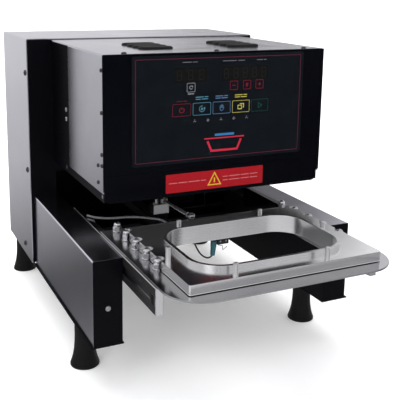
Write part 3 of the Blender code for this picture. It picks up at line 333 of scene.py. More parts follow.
# A lighter copy of the grey paint for the arm covers: painted light
ARM_PAINT_LIT = grey_paint("arm_paint_painted_light", 1.15)
BLOCK_METAL = brushed("block_metal", 0.42, 0.36)
ROD_METAL = plated("rod_metal", 0.72, 0.42)
JOINT_METAL = plated("joint_metal", 0.3, 0.22)
BRONZE = brushed("bronze", 0.3, 0.3, tint=0.35)
TEAL = plastic("teal_sleeve", (0.02, 0.1, 0.12), 0.35)
SMOKED = smoked_window()
RED_LABEL = plain_print("red_label", (0.34, 0.006, 0.012))
YELLOW = plain_print("yellow_ink", (0.62, 0.4, 0.03))
PALE_PINK = plain_print("pale_ink", (0.5, 0.17, 0.18))
INK = {
    "red": plain_print("red_ink", (0.24, 0.01, 0.025)),
    "dark_red": plain_print("dark_red_ink", (0.085, 0.01, 0.022)),
    "cyan": plain_print("cyan_ink", (0.075, 0.22, 0.3)),
    "blue": plain_print("blue_ink", (0.085, 0.17, 0.32)),
    "yellow": plain_print("bright_yellow_ink", (0.46, 0.4, 0.08)),
    "green": plain_print("green_ink", (0.006, 0.075, 0.05)),
    "logo_red": plain_print("logo_red_ink", (0.5, 0.018, 0.045)),
    "logo_blue": plain_print("logo_blue_ink", (0.03, 0.16, 0.36)),
    "white": plain_print("white_ink", (0.3, 0.3, 0.32)),
    "grey": plain_print("grey_ink", (0.11, 0.11, 0.12)),
    "segment": plain_print("segment_ink", (0.0088, 0.0082, 0.0076)),
}


# ---------------------------------------------------------------- shapes


SMOOTH_ANGLE = 35


def settle(name, mesh, body, slot, material=None):
    """Makes a piece from a mesh and hangs it on its body; its slot's own material unless another is given."""
    mesh.name = name
    mesh.materials.clear()
    mesh.materials.append(material or MATERIALS[slot])
    mesh.shade_smooth()
    mesh.set_sharp_from_angle(angle=math.radians(SMOOTH_ANGLE))
    made = bpy.data.objects.new(name, mesh)
    bpy.context.scene.collection.objects.link(made)
    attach(made, body)
    return made


def flattened(made):
    """Keeps the shading of large flat faces flat up to their eased edges."""
    for face in made.data.polygons:
        if abs(face.normal.z) > 0.3:
            face.use_smooth = False
    step = made.modifiers.new("Weighted", "WEIGHTED_NORMAL")
    step.mode = "FACE_AREA"
    step.weight = 100
    step.keep_sharp = True
    return made


def form_of(mesh):
    """An editable form of a mesh, with its doubled corners merged."""
    form = bmesh.new()
    form.from_mesh(mesh)
    bmesh.ops.remove_doubles(form, verts=form.verts, dist=1e-6)
    return form


def mesh_of(form):
    bmesh.ops.recalc_face_normals(form, faces=form.faces)
    mesh = bpy.data.meshes.new("shape")
    form.to_mesh(mesh)
    form.free()
    return mesh


def bevelled(made, width, segments=2, angle=40):
    """Rounds the edges of a piece that are sharper than the angle."""
    step = made.modifiers.new("Bevel", "BEVEL")
    step.width = width
    step.segments = segments
    step.limit_method = "ANGLE"
    step.angle_limit = math.radians(angle)
    step.harden_normals = True
    return made


def refined(node, width=0.4 * MM, segments=2, material=None):
    """A copy of a CAD node with clean faces and rounded edges, which stands for it."""
    mesh = frame["nodes"][node].data.copy()
    form = form_of(mesh)
    bmesh.ops.dissolve_limit(form, angle_limit=math.radians(1), verts=form.verts, edges=form.edges)
    form.to_mesh(mesh)
    form.free()
    slot = SLOTS[node]
    made = settle(node + "_surface", mesh, BODY_OF[node], slot, material)
    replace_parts(made, node)
    return bevelled(made, width, segments) if width else made


def on_axis(axis, first, second, along):
    if axis == "X":
        return (along, first, second)
    if axis == "Y":
        return (first, along, second)
    return (first, second, along)


def prism_mesh(outlines, axis, start, end):
    """One or more closed outlines extruded along an axis."""
    form = bmesh.new()
    for outline in outlines:
        corners = [form.verts.new(on_axis(axis, a, b, start)) for a, b in outline]
        face = form.faces.new(corners)
        grown = bmesh.ops.extrude_face_region(form, geom=[face])["geom"]
        moved = [item for item in grown if isinstance(item, bmesh.types.BMVert)]
        bmesh.ops.translate(form, vec=on_axis(axis, 0, 0, end - start), verts=moved)
    return mesh_of(form)


def box_mesh(low, high):
    outline = [(low[0], low[1]), (high[0], low[1]), (high[0], high[1]), (low[0], high[1])]
    return prism_mesh([outline], "Z", low[2], high[2])


def lathe_mesh(profile, sides=48):
    """A profile of (radius, height) turned about the vertical axis; a loop where it starts off that axis."""
    form = bmesh.new()
    rings = []
    for radius, along in profile:
        if radius == 0:
            rings.append([form.verts.new((0, 0, along))])
            continue
        angles = [2 * math.pi * k / sides for k in range(sides)]
        rings.append([form.verts.new((radius * math.cos(a), radius * math.sin(a), along)) for a in angles])
    pairs = list(zip(rings, rings[1:]))
    if profile[0][0] > 0:
        pairs.append((rings[-1], rings[0]))
    for one, other in pairs:
        for k in range(sides):
            after = k + 1
            spots = [(one, k), (one, after), (other, after), (other, k)]
            corners = [ring[place % len(ring)] for ring, place in spots]
            form.faces.new(list(dict.fromkeys(corners)))
    return mesh_of(form)


def bridge(form, one, after):
    """Joins two rings of corners with a band of faces."""
    for i in range(len(one)):
        j = (i + 1) % len(one)
        form.faces.new((one[i], one[j], after[j], after[i]))


def moved_mesh(mesh, place):
    mesh.transform(Matrix.Translation(Vector(place)))
    return mesh


def lathe(name, profile, place, sides, body, slot, material=None):
    return settle(name, moved_mesh(lathe_mesh(profile, sides), place), body, slot, material)


def arc(centre, radius, start, end, steps):
    points = []
    for k in range(steps + 1):
        angle = math.radians(start + (end - start) * k / steps)
        points.append((centre[0] + radius * math.cos(angle), centre[1] + radius * math.sin(angle)))
    return points


def rounded(centre, half, radius, steps=16):
    points = []
    for sign_a, sign_b, start in ((1, 1, 0), (-1, 1, 90), (-1, -1, 180), (1, -1, 270)):
        corner = (centre[0] + sign_a * (half[0] - radius), centre[1] + sign_b * (half[1] - radius))
        points += arc(corner, radius, start, start + 90, steps)
    return points


def opening(grow, steps=20):
    """The outline of the die's opening, grown by an even margin."""
    half = (OPENING_HALF[0] + grow, OPENING_HALF[1] + grow)
    return rounded(OPENING_CENTRE, half, OPENING_CORNER + grow, steps)


def sheet_mesh(outlines, low, high, edge):
    """A flat plate between two heights, from an outer outline and holes, with eased edges."""
    curve = bpy.data.curves.new("outline", "CURVE")
    curve.dimensions = "2D"
    curve.fill_mode = "BOTH"
    curve.extrude = (high - low) / 2 - edge
    curve.bevel_depth = edge
    curve.bevel_resolution = 1
    curve.offset = -edge
    for outline in outlines:
        line = curve.splines.new("POLY")
        line.points.add(len(outline) - 1)
        for point, (x, y) in zip(line.points, outline):
            point.co = (x, y, 0.0, 1.0)
        line.use_cyclic_u = True
    holder = bpy.data.objects.new("outline", curve)
    bpy.context.scene.collection.objects.link(holder)
    bpy.context.view_layer.update()
    graph = bpy.context.evaluated_depsgraph_get()
    mesh = bpy.data.meshes.new_from_object(holder.evaluated_get(graph))
    bpy.data.objects.remove(holder)
    form = form_of(mesh)
    form.to_mesh(mesh)
    form.free()
    return moved_mesh(mesh, (0, 0, (low + high) / 2))


def ring_mesh(profile):
    """A closed profile of (margin, height) swept round the die's opening."""
    form = bmesh.new()
    loops = []
    for grow, height in profile:
        loops.append([form.verts.new((x, y, height)) for x, y in opening(grow)])
    for loop, after in zip(loops, loops[1:] + loops[:1]):
        bridge(form, loop, after)
    return mesh_of(form)


def tube(name, places, radius, body, slot, sides=12):
    """A round wire or cable on a smooth curve through the places."""
    knots = [Vector(place) for place in places]
    knots = [2 * knots[0] - knots[1]] + knots + [2 * knots[-1] - knots[-2]]
    points = []
    for a, b, c, d in zip(knots, knots[1:], knots[2:], knots[3:]):
        steps = max(3, round((c - b).length / (2 * radius)))
        for k in range(steps):
            t = k / steps
            bend = (2 * a - 5 * b + 4 * c - d) * t * t + (3 * b - a - 3 * c + d) * t ** 3
            points.append(b + 0.5 * ((c - a) * t + bend))
    points.append(knots[-2])
    radii = [radius] * len(points)
    return settle(name, tube_mesh(points, radii, sides), body, slot)


def tube_mesh(points, radii, sides=12):
    """A capped tube whose rings turn with the path without twisting."""
    form = bmesh.new()
    rings = []
    across = None
    for k, point in enumerate(points):
        ahead = (points[min(k + 1, len(points) - 1)] - points[max(k - 1, 0)]).normalized()
        if across is None:
            across = ahead.orthogonal().normalized()
        across = (across - ahead * across.dot(ahead)).normalized()
        other = ahead.cross(across)
        ring = []
        for i in range(sides):
            angle = 2 * math.pi * i / sides
            offset = across * math.cos(angle) + other * math.sin(angle)
            ring.append(form.verts.new(point + offset * radii[k]))
        rings.append(ring)
    for one, after in zip(rings, rings[1:]):
        bridge(form, one, after)
    form.faces.new(rings[0])
    form.faces.new(rings[-1])
    return mesh_of(form)


def boolean_mesh(mesh, tools, operation):
    """Applies exact Booleans to a mesh and returns the result."""
    holders = []
    for item in [mesh] + tools:
        holder = bpy.data.objects.new("boolean_step", item)
        bpy.context.scene.collection.objects.link(holder)
        holders.append(holder)
    for holder in holders[1:]:
        step = holders[0].modifiers.new("Step", "BOOLEAN")
        step.operation = operation
        step.solver = "EXACT"
        step.object = holder
    bpy.context.view_layer.update()
    graph = bpy.context.evaluated_depsgraph_get()
    result = bpy.data.meshes.new_from_object(holders[0].evaluated_get(graph))
    for holder in holders:
        bpy.data.objects.remove(holder)
    return result


# ---------------------------------------------------------------- fasteners


def recess_tools(radius, depth, top):
    """Two crossed blades that cut a cross recess from the top of a screw head."""
    blades = []
    for turn in (0, 1):
        half = (radius * 0.62, radius * 0.16)
        a, b = half if turn == 0 else half[::-1]
        blades.append(box_mesh((-a, -b, top - depth), (a, b, top + 2 * MM)))
    return blades


def pan_screw_mesh(radius):
    """A pan head with a cross recess, its seat at height 0."""
    tall = radius * 0.62
    profile = [(0, tall)]
    for angle in range(12, 91, 13):
        turn = math.radians(angle)
        profile.append((radius * math.sin(turn), tall * (0.35 + 0.65 * math.cos(turn))))
    profile += [(radius, 0), (0, 0)]
    head = lathe_mesh(profile, 32)
    return boolean_mesh(head, recess_tools(radius, tall * 0.7, tall), "DIFFERENCE")


def cap_nut_mesh():
    """An acorn nut on a washer, its seat at height 0."""
    across = 5.77 * MM
    hexagon = prism_mesh([arc((0, 0), across, 30, 330, 5)], "Z", 1.4 * MM, 7.6 * MM)
    cone = [mm(0, 8), mm(4.6, 8), mm(6.2, 6.6), mm(6.2, 2), mm(5, 1.2), mm(0, 1.2)]
    body = boolean_mesh(hexagon, [lathe_mesh(cone, 48)], "INTERSECT")
    dome = [mm(0, 14)]
    for angle in range(10, 91, 10):
        turn = math.radians(angle)
        dome.append((4.7 * MM * math.sin(turn), 9.3 * MM + 4.7 * MM * math.cos(turn)))
    dome += [mm(4.7, 6.5), mm(0, 6.5)]
    washer = [(0, 0), mm(5.9, 0), mm(6.2, 0.3), mm(6.2, 1.2), mm(5.9, 1.5), mm(0, 1.5)]
    shapes = [lathe_mesh(dome, 40), lathe_mesh(washer, 40)]
    return boolean_mesh(body, shapes, "UNION")


PAN_SCREW = pan_screw_mesh(3.6 * MM)
SMALL_SCREW = pan_screw_mesh(2.7 * MM)
BIG_SCREW = pan_screw_mesh(4.6 * MM)
SWITCH_SCREW = pan_screw_mesh(1.3 * MM)
CAP_NUT = cap_nut_mesh()
OUTWARD = {
    "+X": Matrix.Rotation(math.radians(90), 4, "Y"),
    "-X": Matrix.Rotation(math.radians(-90), 4, "Y"),
    "+Y": Matrix.Rotation(math.radians(-90), 4, "X"),
    "-Y": Matrix.Rotation(math.radians(90), 4, "X"),
    "+Z": Matrix.Identity(4),
    "-Z": Matrix.Rotation(math.radians(180), 4, "X"),
}


def fastener(name, mesh, place, outward, body, slot, material, turn=20):
    """A copy of a fastener at a place, with its head facing outward."""
    made = mesh.copy()
    made.transform(Matrix.Rotation(math.radians(turn), 4, "Z"))
    made.transform(OUTWARD[outward])
    return settle(name, moved_mesh(made, place), body, slot, material)


def screw(name, place, outward, body="machine", mesh=None, turn=20):
    return fastener(name, mesh or PAN_SCREW, place, outward, body, "plated_steel", None, turn)


# ---------------------------------------------------------------- housing, arms and feet


def housing():
    """Housing cover with its side screws, and the panels and frames inside it."""
    refined("housing_cover", 0.25 * MM)
    side_screws = [mm(12.4, 383), mm(16, 224.5), mm(49.6, 87.7)]
    for side, outward, label in ((-1, "-X", "left"), (1, "+X", "right")):
        for index, (back, z) in enumerate(side_screws):
            spot = (side * (HOUSING_HIGH.x - 0.6 * MM), HOUSING_LOW.y + back, z)
            name, turn = f"housing_screw_{label}_{index + 1}", 15 + 40 * index
            fastener(name, BIG_SCREW, spot, outward, "machine", "plated_steel", DARK_STEEL, turn)
    for node in ("base_plate", "housing_front_panel", "spindle_bracket", "belt_frame"):
        refined(node, 0.3 * MM)
    refined("rear_panel", 0.2 * MM, 1)
    for side, label in SIDES:
        lowest = 95 if side < 0 else 175  # the right one clears the mains inlet
        for index, z in enumerate(mm(lowest, 250, 410)):
            place = (side * 185 * MM, REAR_HIGH.y, z)
            screw(f"rear_screw_{label}_{index + 1}", place, "+Y", turn=33 * index)
        for index, y in enumerate(mm(185, 262)):
            place = (side * 120 * MM, y, HOUSING_LOW.z + 0.3 * MM)
            screw(f"base_screw_{label}_{index + 1}", place, "-Z", turn=50 * index)


def louvre_hoods():
    """Small pressed hoods over the rear panel's slots, with dust mesh behind them."""
    base, back = REAR_HIGH.y, REAR_LOW.y - 0.3 * MM
    for side, label in SIDES:
        middle = side * LOUVRE_X
        outline = rounded((middle, 342 * MM), mm(53, 50), 4 * MM, 6)
        mesh = prism_mesh([outline], "Y", back - 0.8 * MM, back)
        settle(f"louvre_filter_{label}", mesh, "machine", "black_plastic", DUST_MESH_AND_SHADE)
        form = bmesh.new()
        for row in range(LOUVRE_ROWS):
            z = LOUVRE_FIRST_Z + row * LOUVRE_PITCH
            rings = []
            for along, reach in zip(mm(-50, -46, 46, 50), mm(0.15, 2.6, 2.6, 0.15)):
                spots = [(base, z + 4.6 * MM)]
                for turn in (math.radians(60), math.radians(35), math.radians(10)):
                    spots.append((base + reach * math.cos(turn), z - 0.4 * MM + 5 * MM * math.sin(turn)))
                spots += [(base + reach * 0.75, z + 0.4 * MM), (base, z + 3.2 * MM)]
                rings.append([form.verts.new((middle + along, *spot)) for spot in spots])
            for one, after in zip(rings, rings[1:]):
                bridge(form, one, after)
            form.faces.new(rings[0])
            form.faces.new(rings[-1])
        settle(f"louvre_hoods_{label}", mesh_of(form), "machine", "black_paint")


def arms():
    """Arm channels, covers, rails and their screws."""
    for side, label in SIDES:
        refined(f"{label}_arm_channel", 0.1 * MM, 1)
        # The arm covers take the lighter copy of the grey paint, which paints light on them
        refined(f"{label}_arm_cover", 0.08 * MM, 1, ARM_PAINT_LIT)
        refined(f"{label}_slide_rail", 0.4 * MM)
        low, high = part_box(f"{label}_arm_channel")
        front = low.y - 0.3 * MM
        outline = rounded((side * 174.85 * MM, 126.9 * MM), mm(19.6, 57.8), 0.8 * MM, 3)
        cap = prism_mesh([outline], "Y", front, low.y - 0.02 * MM)
        settle(f"{label}_arm_front_cap", cap, "machine", "black_paint")
        base_low = (low.x, front, low.z + 0.2 * MM)
        base_high = (high.x + 2.2 * MM, 40 * MM, low.z + 1.8 * MM)
        base = box_mesh(base_low, base_high)
        bevelled(settle(f"{label}_arm_base_plate", base, "machine", "black_paint"), 0.2 * MM)
        x = side * 174.8 * MM
        screw(f"arm_front_screw_{label}", (x, front, 119.6 * MM), "-Y", turn=30)
        for index, y in enumerate(mm(-120, 20, 125)):
            place = (side * 176 * MM, y, low.z)
            screw(f"arm_base_screw_{label}_{index + 1}", place, "-Z", turn=25 * index)
        for index, y in enumerate(mm(-20, 60, 130)):
            place = (side * 155.2 * MM, y, 169 * MM)
            out = "+X" if side < 0 else "-X"
            head = [mm(0, 0.2), mm(2.4, 0.2), mm(2.4, 0), (0, 0)]
            rivet = lathe_mesh(head, 20)
            rivet.transform(OUTWARD[out])
            settle(f"rail_rivet_{label}_{index + 1}", moved_mesh(rivet, place), "machine", "plated_steel")


def feet():
    """Rubber feet with a swept waist and a moulded bead round the base."""
    for label in ("front_left", "front_right", "rear_left", "rear_right"):
        node = f"foot_{label}"
        low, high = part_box(node)
        height = high.z
        centre = ((low.x + high.x) / 2, (low.y + high.y) / 2, 0)
        base = (high.x - low.x) / 2
        neck = 13.8 * MM
        profile = [(0, height), (neck - 1 * MM, height)]
        profile += [(neck - 0.3 * MM, height - 0.3 * MM), (neck, height - 1 * MM)]
        rise = 3 * MM
        for step in range(1, 25):
            t = 1 - step / 24
            flare = (1 - t) ** 4 * (base - neck)
            profile.append((neck + flare, rise + t * (height - 1 * MM - rise)))
        profile += [(base, 2.4 * MM), (base - 0.1 * MM, 0.8 * MM)]
        profile += [(base - 0.8 * MM, 0.1 * MM), (base - 1.6 * MM, 0)]
        profile += [mm(16, 0), mm(15.5, 0.8), mm(9, 0.8), mm(8.5, 0)]
        profile += [mm(6, 0), mm(6, 12), mm(0, 12)]
        foot = lathe(f"{node}_rubber", profile, centre, 64, "machine", "rubber")
        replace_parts(foot, node)
        washer = [mm(5.4, 12), mm(5.4, 10.9), mm(2, 10.9), mm(2, 12)]
        lathe(f"{node}_washer", washer, centre, 32, "machine", "plated_steel")
        screw(f"{node}_screw", (centre[0], centre[1], 10.9 * MM), "-Z", turn=10)


# ---------------------------------------------------------------- head and keypad


def head():
    """Head cover, welded frame, front panels and their screws."""
    # The head cover takes the darker copy of the grey paint, which paints shade on it
    refined("head_cover", 0.3 * MM, 2, HEAD_PAINT_SHADED)
    refined("head_frame", 0.3 * MM)
    refined("control_panel", 0.4 * MM)
    refined("lower_front_panel", 0.4 * MM)
    rows = [(6, 414.8), (6, 360), (6, 304.8), (6, 290), (21.6, 287.5), (21.6, 264.4)]
    for side, label in SIDES:
        x = HEAD_LOW.x if side < 0 else HEAD_HIGH.x
        out = "-X" if side < 0 else "+X"
        for index, (back, z) in enumerate(rows):
            place = (x, PANEL_LOW.y + back * MM, z * MM)
            name = f"head_side_screw_{label}_{index + 1}"
            fastener(name, SMALL_SCREW, place, out, "machine", "chrome", DARK_STEEL, 37 * index)
        frame_x = x - side * 1.8 * MM
        for index, z in enumerate(mm(336.8, 322.6)):
            place = (frame_x, 70 * MM, z)
            screw(f"neck_screw_{label}_{index + 1}", place, out, turn=25 * index)
    for index, x in enumerate(mm(-130, 3.7, 144)):
        place = (x, PANEL_LOW.y + 7.7 * MM, HEAD_HIGH.z)
        name = f"head_top_screw_{index + 1}"
        fastener(name, PAN_SCREW, place, "+Z", "machine", "plated_steel", DARK_STEEL, 31 * index)


def vent_shade_sheets():
    """Black sheets under the vent slots in the head's top, which paint the shade inside the slots."""
    top = HEAD_HIGH.z - 1.9 * MM
    for label, x in VENT_GROUPS:
        outline = rounded((x, VENT_FIRST_Y + 1.5 * VENT_PITCH), mm(29, 45), 4 * MM, 6)
        mesh = sheet_mesh([outline], top - 0.9 * MM, top, 0.2 * MM)
        # Each black sheet paints the shade inside its group of vent slots
        settle(f"vent_shade_sheet_{label}", mesh, "machine", "black_plastic", DUST_MESH_AND_SHADE)


def vent_hoods():
    """Low moulded hoods with a rim, one over each vent slot in the head's top."""
    layers = [(0, 0), (0, 1.2), (0.5, 2.1), (1.7, 2.8), (3.8, 3.1)]
    for label, x in VENT_GROUPS:
        for row in range(4):
            centre = (x, VENT_FIRST_Y + row * VENT_PITCH)
            form = bmesh.new()
            rings = []
            for inset, height in layers:
                half = ((25.6 - inset) * MM, (10.2 - inset) * MM)
                outline = rounded(centre, half, (10 - inset) * MM, 8)
                rings.append([form.verts.new((a, b, HEAD_HIGH.z + height * MM)) for a, b in outline])
            for low, high in zip(rings, rings[1:]):
                bridge(form, low, high)
            form.faces.new(rings[-1])
            form.faces.new(reversed(rings[0]))
            mesh = mesh_of(form)
            settle(f"vent_hood_{label}_{row + 1}", mesh, "machine", "black_plastic", VENT_PLASTIC)


def ribbon(points, width, closed=False):
    """The outline pieces of a line of even width through the points, with mitred joints."""
    spots = [Vector(point) for point in points]
    count = len(spots)
    left, right = [], []
    for k, spot in enumerate(spots):
        before = spots[(k - 1) % count] if closed or k > 0 else None
        after = spots[(k + 1) % count] if closed or k < count - 1 else None
        ways = []
        if before is not None:
            ways.append((spot - before).normalized())
        if after is not None:
            ways.append((after - spot).normalized())
        along = sum(ways, Vector((0, 0))).normalized()
        across = Vector((-along.y, along.x))
        reach = width / 2 / max(0.4, abs(across.dot(Vector((-ways[0].y, ways[0].x)))))
        left.append(spot + across * reach)
        right.append(spot - across * reach)
    pieces = []
    last = count if closed else count - 1
    for k in range(last):
        j = (k + 1) % count
        pieces.append([tuple(left[k]), tuple(left[j]), tuple(right[j]), tuple(right[k])])
    return pieces


def welded_mesh(outlines, y, thickness):
    """Outlines that share edges, made into one thin print that faces -Y."""
    form = bmesh.new()
    for outline in outlines:
        form.faces.new([form.verts.new((a, y, b)) for a, b in outline])
    bmesh.ops.remove_doubles(form, verts=form.verts, dist=2e-6)
    flat = [face for face in form.faces]
    grown = bmesh.ops.extrude_face_region(form, geom=flat)["geom"]
    moved = [item for item in grown if isinstance(item, bmesh.types.BMVert)]
    bmesh.ops.translate(form, vec=(0, thickness, 0), verts=moved)
    return mesh_of(form)


def ink(name, outlines, colour, front, body="machine"):
    """A print on a face that looks along -Y: outlines in x and z, 0.03 mm thick."""
    mesh = welded_mesh(outlines, front - 0.03 * MM, 0.03 * MM)
    return settle(name, mesh, body, "keypad_print", INK[colour])


def scaled(points, centre, size):
    return [(centre[0] + size * a, centre[1] + size * b) for a, b in points]


def icon_lines(kind):
    """Strokes of a key's symbol, in a box from -1 to 1: (points, closed) pairs."""
    if kind == "power":
        return [(arc((0, -0.05), 0.8, 122, 418, 20), False), ([(0, 0.05), (0, 0.95)], False)]
    if kind == "automatic":
        ring = arc((0, 0), 0.9, 70, 380, 20)
        tip = [(0.5, 0.05), (0.88, 0.42), (1.12, -0.02)]
        return [(ring, False), (tip, False), ([(-0.3, -0.28), (0, 0.38), (0.3, -0.28)], True)]
    if kind == "manual":
        palm = [(-0.5, 0.1), (-0.5, -0.35)] + arc((0, -0.4), 0.5, 180, 340, 8) + [(0.85, 0.1)]
        lines = [(palm, False)]
        for x, tall in ((-0.5, 0.6), (-0.17, 0.9), (0.16, 0.95), (0.47, 0.75)):
            lines.append(([(x, -0.1), (x, tall)], False))
        return lines
    if kind == "double":
        near = [(-1.0, -0.75), (0.25, -0.75), (0.25, 0.35), (-1.0, 0.35)]
        far = [(-0.35, 0.8), (0.95, 0.8), (0.95, -0.3), (0.62, -0.3)]
        return [(near, True), (far, False)]
    if kind == "start":
        return [([(-0.5, -0.8), (-0.5, 0.8), (0.85, 0)], True)]
    if kind == "reset":
        return [(arc((0, 0), 0.55, 40, 330, 14), False), ([(0.2, 0.5), (0.62, 0.42), (0.55, 0.0)], False)]
    if kind == "minus":
        return [([(-0.55, 0), (0.55, 0)], False)]
    if kind == "plus":
        return [([(-0.55, 0), (0.55, 0)], False), ([(0, -0.55), (0, 0.55)], False)]
    return [([(-0.4, z), (0.4, z)], False) for z in (-0.45, -0.15, 0.15, 0.45)]


def key(name, colour, line, symbol_size, symbol_line):
    """One touch zone: its pad, a printed frame and a printed symbol."""
    low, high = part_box(name)
    refined(name, 0.12 * MM, 1)
    body = BODY_OF[name]
    centre = ((low.x + high.x) / 2, (low.z + high.z) / 2)
    half = ((high.x - low.x) / 2 - 0.7 * MM, (high.z - low.z) / 2 - 0.7 * MM)
    border = rounded(centre, half, 1.3 * MM, 4)
    ink(f"{name}_frame", ribbon(border, line, True), colour, low.y, body)
    strokes = []
    for points, closed in icon_lines(name.removeprefix("key_")):
        strokes.append(ribbon(scaled(points, centre, symbol_size), symbol_line, closed))
    for index, stroke in enumerate(strokes):
        ink(f"{name}_symbol_{index + 1}", stroke, colour, low.y - 0.01 * MM * index, body)


def seven_segment(centre, height):
    """Segments of one unlit digit."""
    w, t, g = height * 0.48, height * 0.09, height * 0.03
    top, bottom = centre[1] + height / 2, centre[1] - height / 2
    bars = []
    for z in (bottom, centre[1], top):
        a, b = (centre[0] - w / 2 + g, z), (centre[0] + w / 2 - g, z)
        bars += ribbon([a, b], t)
    for x in (centre[0] - w / 2, centre[0] + w / 2):
        for z0, z1 in ((bottom + g, centre[1] - g), (centre[1] + g, top - g)):
            bars += ribbon([(x, z0), (x, z1)], t)
    return bars


# Each key's colour, and in millimetres its frame line, symbol size and symbol stroke
KEYS = {
    "power": ("red", 0.4, 4.4, 0.75),
    "automatic": ("cyan", 0.55, 4.4, 0.75),
    "manual": ("blue", 0.55, 4.6, 0.75),
    "double": ("yellow", 0.55, 4.6, 1.1),
    "start": ("green", 0.4, 4.4, 0.75),
    "reset": ("white", 0.5, 4, 0.7),
    "minus": ("red", 0.45, 4.4, 0.7),
    "menu": ("red", 0.45, 4.4, 0.7),
    "plus": ("red", 0.45, 4.4, 0.7),
}
# Each mark's x, z and width in millimetres, its colour and its number of rows
MARKS = {
    "counter": (-40, 422, 22, "grey", 1),
    "values": (26, 422, 34, "grey", 1),
    "time": (70, 422, 15, "grey", 1),
    "power": (-51.6, 370, 15, "dark_red", 1),
    "automatic": (-21.6, 374.4, 19, "cyan", 2),
    "manual": (8.4, 374.4, 19, "blue", 2),
    "double": (38.4, 374.4, 19, "yellow", 2),
    "reset": (-38.3, 379.4, 9, "white", 1),
}


def keypad():
    """Printed foil with its border line, display windows, keys and marks."""
    refined("keypad_foil", 0.15 * MM, 1)
    front = FOIL_LOW.y
    middle = ((FOIL_LOW.x + FOIL_HIGH.x) / 2, (FOIL_LOW.z + FOIL_HIGH.z) / 2)
    half = ((FOIL_HIGH.x - FOIL_LOW.x) / 2, (FOIL_HIGH.z - FOIL_LOW.z) / 2)
    border = rounded(middle, (half[0] - 5 * MM, half[1] - 4.6 * MM), 2 * MM, 6)
    ink("foil_border_line", ribbon(border, 0.9 * MM, True), "dark_red", front)

    windows = {"counter": (-63.6 * MM, -14.4 * MM, 3), "values": (7.6 * MM, 80.8 * MM, 5)}
    window_z, window_half_height = 404.75 * MM, 10.25 * MM
    for name, (left, right, digits) in windows.items():
        window_half = ((right - left) / 2, window_half_height)
        outline = rounded(((left + right) / 2, window_z), window_half, 1 * MM, 3)
        mesh = prism_mesh([outline], "Y", front - 0.02 * MM, front)
        settle(f"display_window_{name}", mesh, "machine", "keypad_print", SMOKED)
        pitch = (right - left) / digits
        for index in range(digits):
            digit = seven_segment((left + pitch * (index + 0.5), window_z), 13 * MM)
            ink(f"digit_{name}_{index + 1}", digit, "segment", front - 0.03 * MM)

    for name, (colour, line, size, stroke) in KEYS.items():
        key(f"key_{name}", colour, line * MM, size * MM, stroke * MM)

    def bars(name, centre, width, colour, rows=1):
        """Plain bars in the place of printed words."""
        marks = []
        for row in range(rows):
            z = centre[1] - row * 2.9 * MM
            parts = (0.62, 0.3) if row % 2 == 0 else (0.4, 0.5)
            x = centre[0] - width / 2
            for share in parts:
                marks += ribbon([(x, z), (x + share * width, z)], 1.1 * MM)
                x += (share + 0.08) * width
        ink(name, marks, colour, front)

    for name, (x, z, width, colour, rows) in MARKS.items():
        bars(f"mark_{name}", mm(x, z), width * MM, colour, rows)

    for index in range(5):
        x, z = (-32 + 20 * index) * MM, 342 * MM
        marks = []
        for arm in range(3 if index % 2 == 0 else 4):
            angle = math.radians(90 + arm * (120 if index % 2 == 0 else 90))
            tip = (x + 2.1 * MM * math.cos(angle), z + 2.1 * MM * math.sin(angle))
            start = (x + 0.6 * MM * math.cos(angle), z + 0.6 * MM * math.sin(angle))
            marks += ribbon([start, tip], 0.7 * MM)
        ink(f"indicator_mark_{index + 1}", marks, "white", front)

    shift = 14 * MM
    tray = [(shift + a * MM, b * MM) for a, b in ((-26, 312.5), (-20, 298.5), (20, 298.5), (26, 312.5))]
    ink("tray_mark", ribbon(tray, 3 * MM), "logo_red", front)
    lid = [(shift - 31 * MM, 316 * MM), (shift + 31 * MM, 316 * MM)]
    ink("lid_mark", ribbon(lid, 1.8 * MM), "logo_red", front)
    press = [(shift - 15 * MM, 320.6 * MM), (shift + 15 * MM, 320.6 * MM)]
    ink("press_mark", ribbon(press, 3.2 * MM), "logo_blue", front)


def warning_band():
    """Plain red band with a plain triangle, in the place of the printed label."""
    front = LOWER_LOW.y
    centre = mm(2.8, 256.9)
    outline = rounded(centre, mm(75.8, 13.1), 0.8 * MM, 3)
    mesh = prism_mesh([outline], "Y", front - 0.18 * MM, front - 0.01 * MM)
    settle("red_band", mesh, "machine", "gloss_black", RED_LABEL).visible_glossy = False
    face = front - 0.18 * MM
    corners = [mm(0, 9.6), mm(-9.6, -7.4), mm(9.6, -7.4)]
    corners = [(centre[0] - 2 * MM + a, centre[1] + b) for a, b in corners]
    ink_face, ink_depth = face - 0.03 * MM, 0.03 * MM
    rim = welded_mesh(ribbon(corners, 1.7 * MM, True), ink_face, ink_depth)
    settle("band_triangle", rim, "machine", "gloss_black", YELLOW)
    bar = ribbon([(corners[0][0], centre[1] + 2.6 * MM), (corners[0][0], centre[1] - 4.4 * MM)], 1.9 * MM)
    settle("band_mark", welded_mesh(bar, ink_face, ink_depth), "machine", "gloss_black", YELLOW)
    for side, label, rows in ((-1, "left", (0.4,)), (1, "right", (2.6, -2.6))):
        marks = []
        for row in rows:
            start = centre[0] - 2 * MM + side * 13 * MM
            spans = (0, 8, 10, 27, 29, 42, 44, 56)
            for a, b in zip(spans[::2], spans[1::2]):
                z = centre[1] + row * MM
                marks += ribbon([(start + side * a * MM, z), (start + side * b * MM, z)], 1.1 * MM)
        mesh = welded_mesh(marks, ink_face, ink_depth)
        settle(f"band_marks_{label}", mesh, "machine", "gloss_black", PALE_PINK)


# ---------------------------------------------------------------- drawer


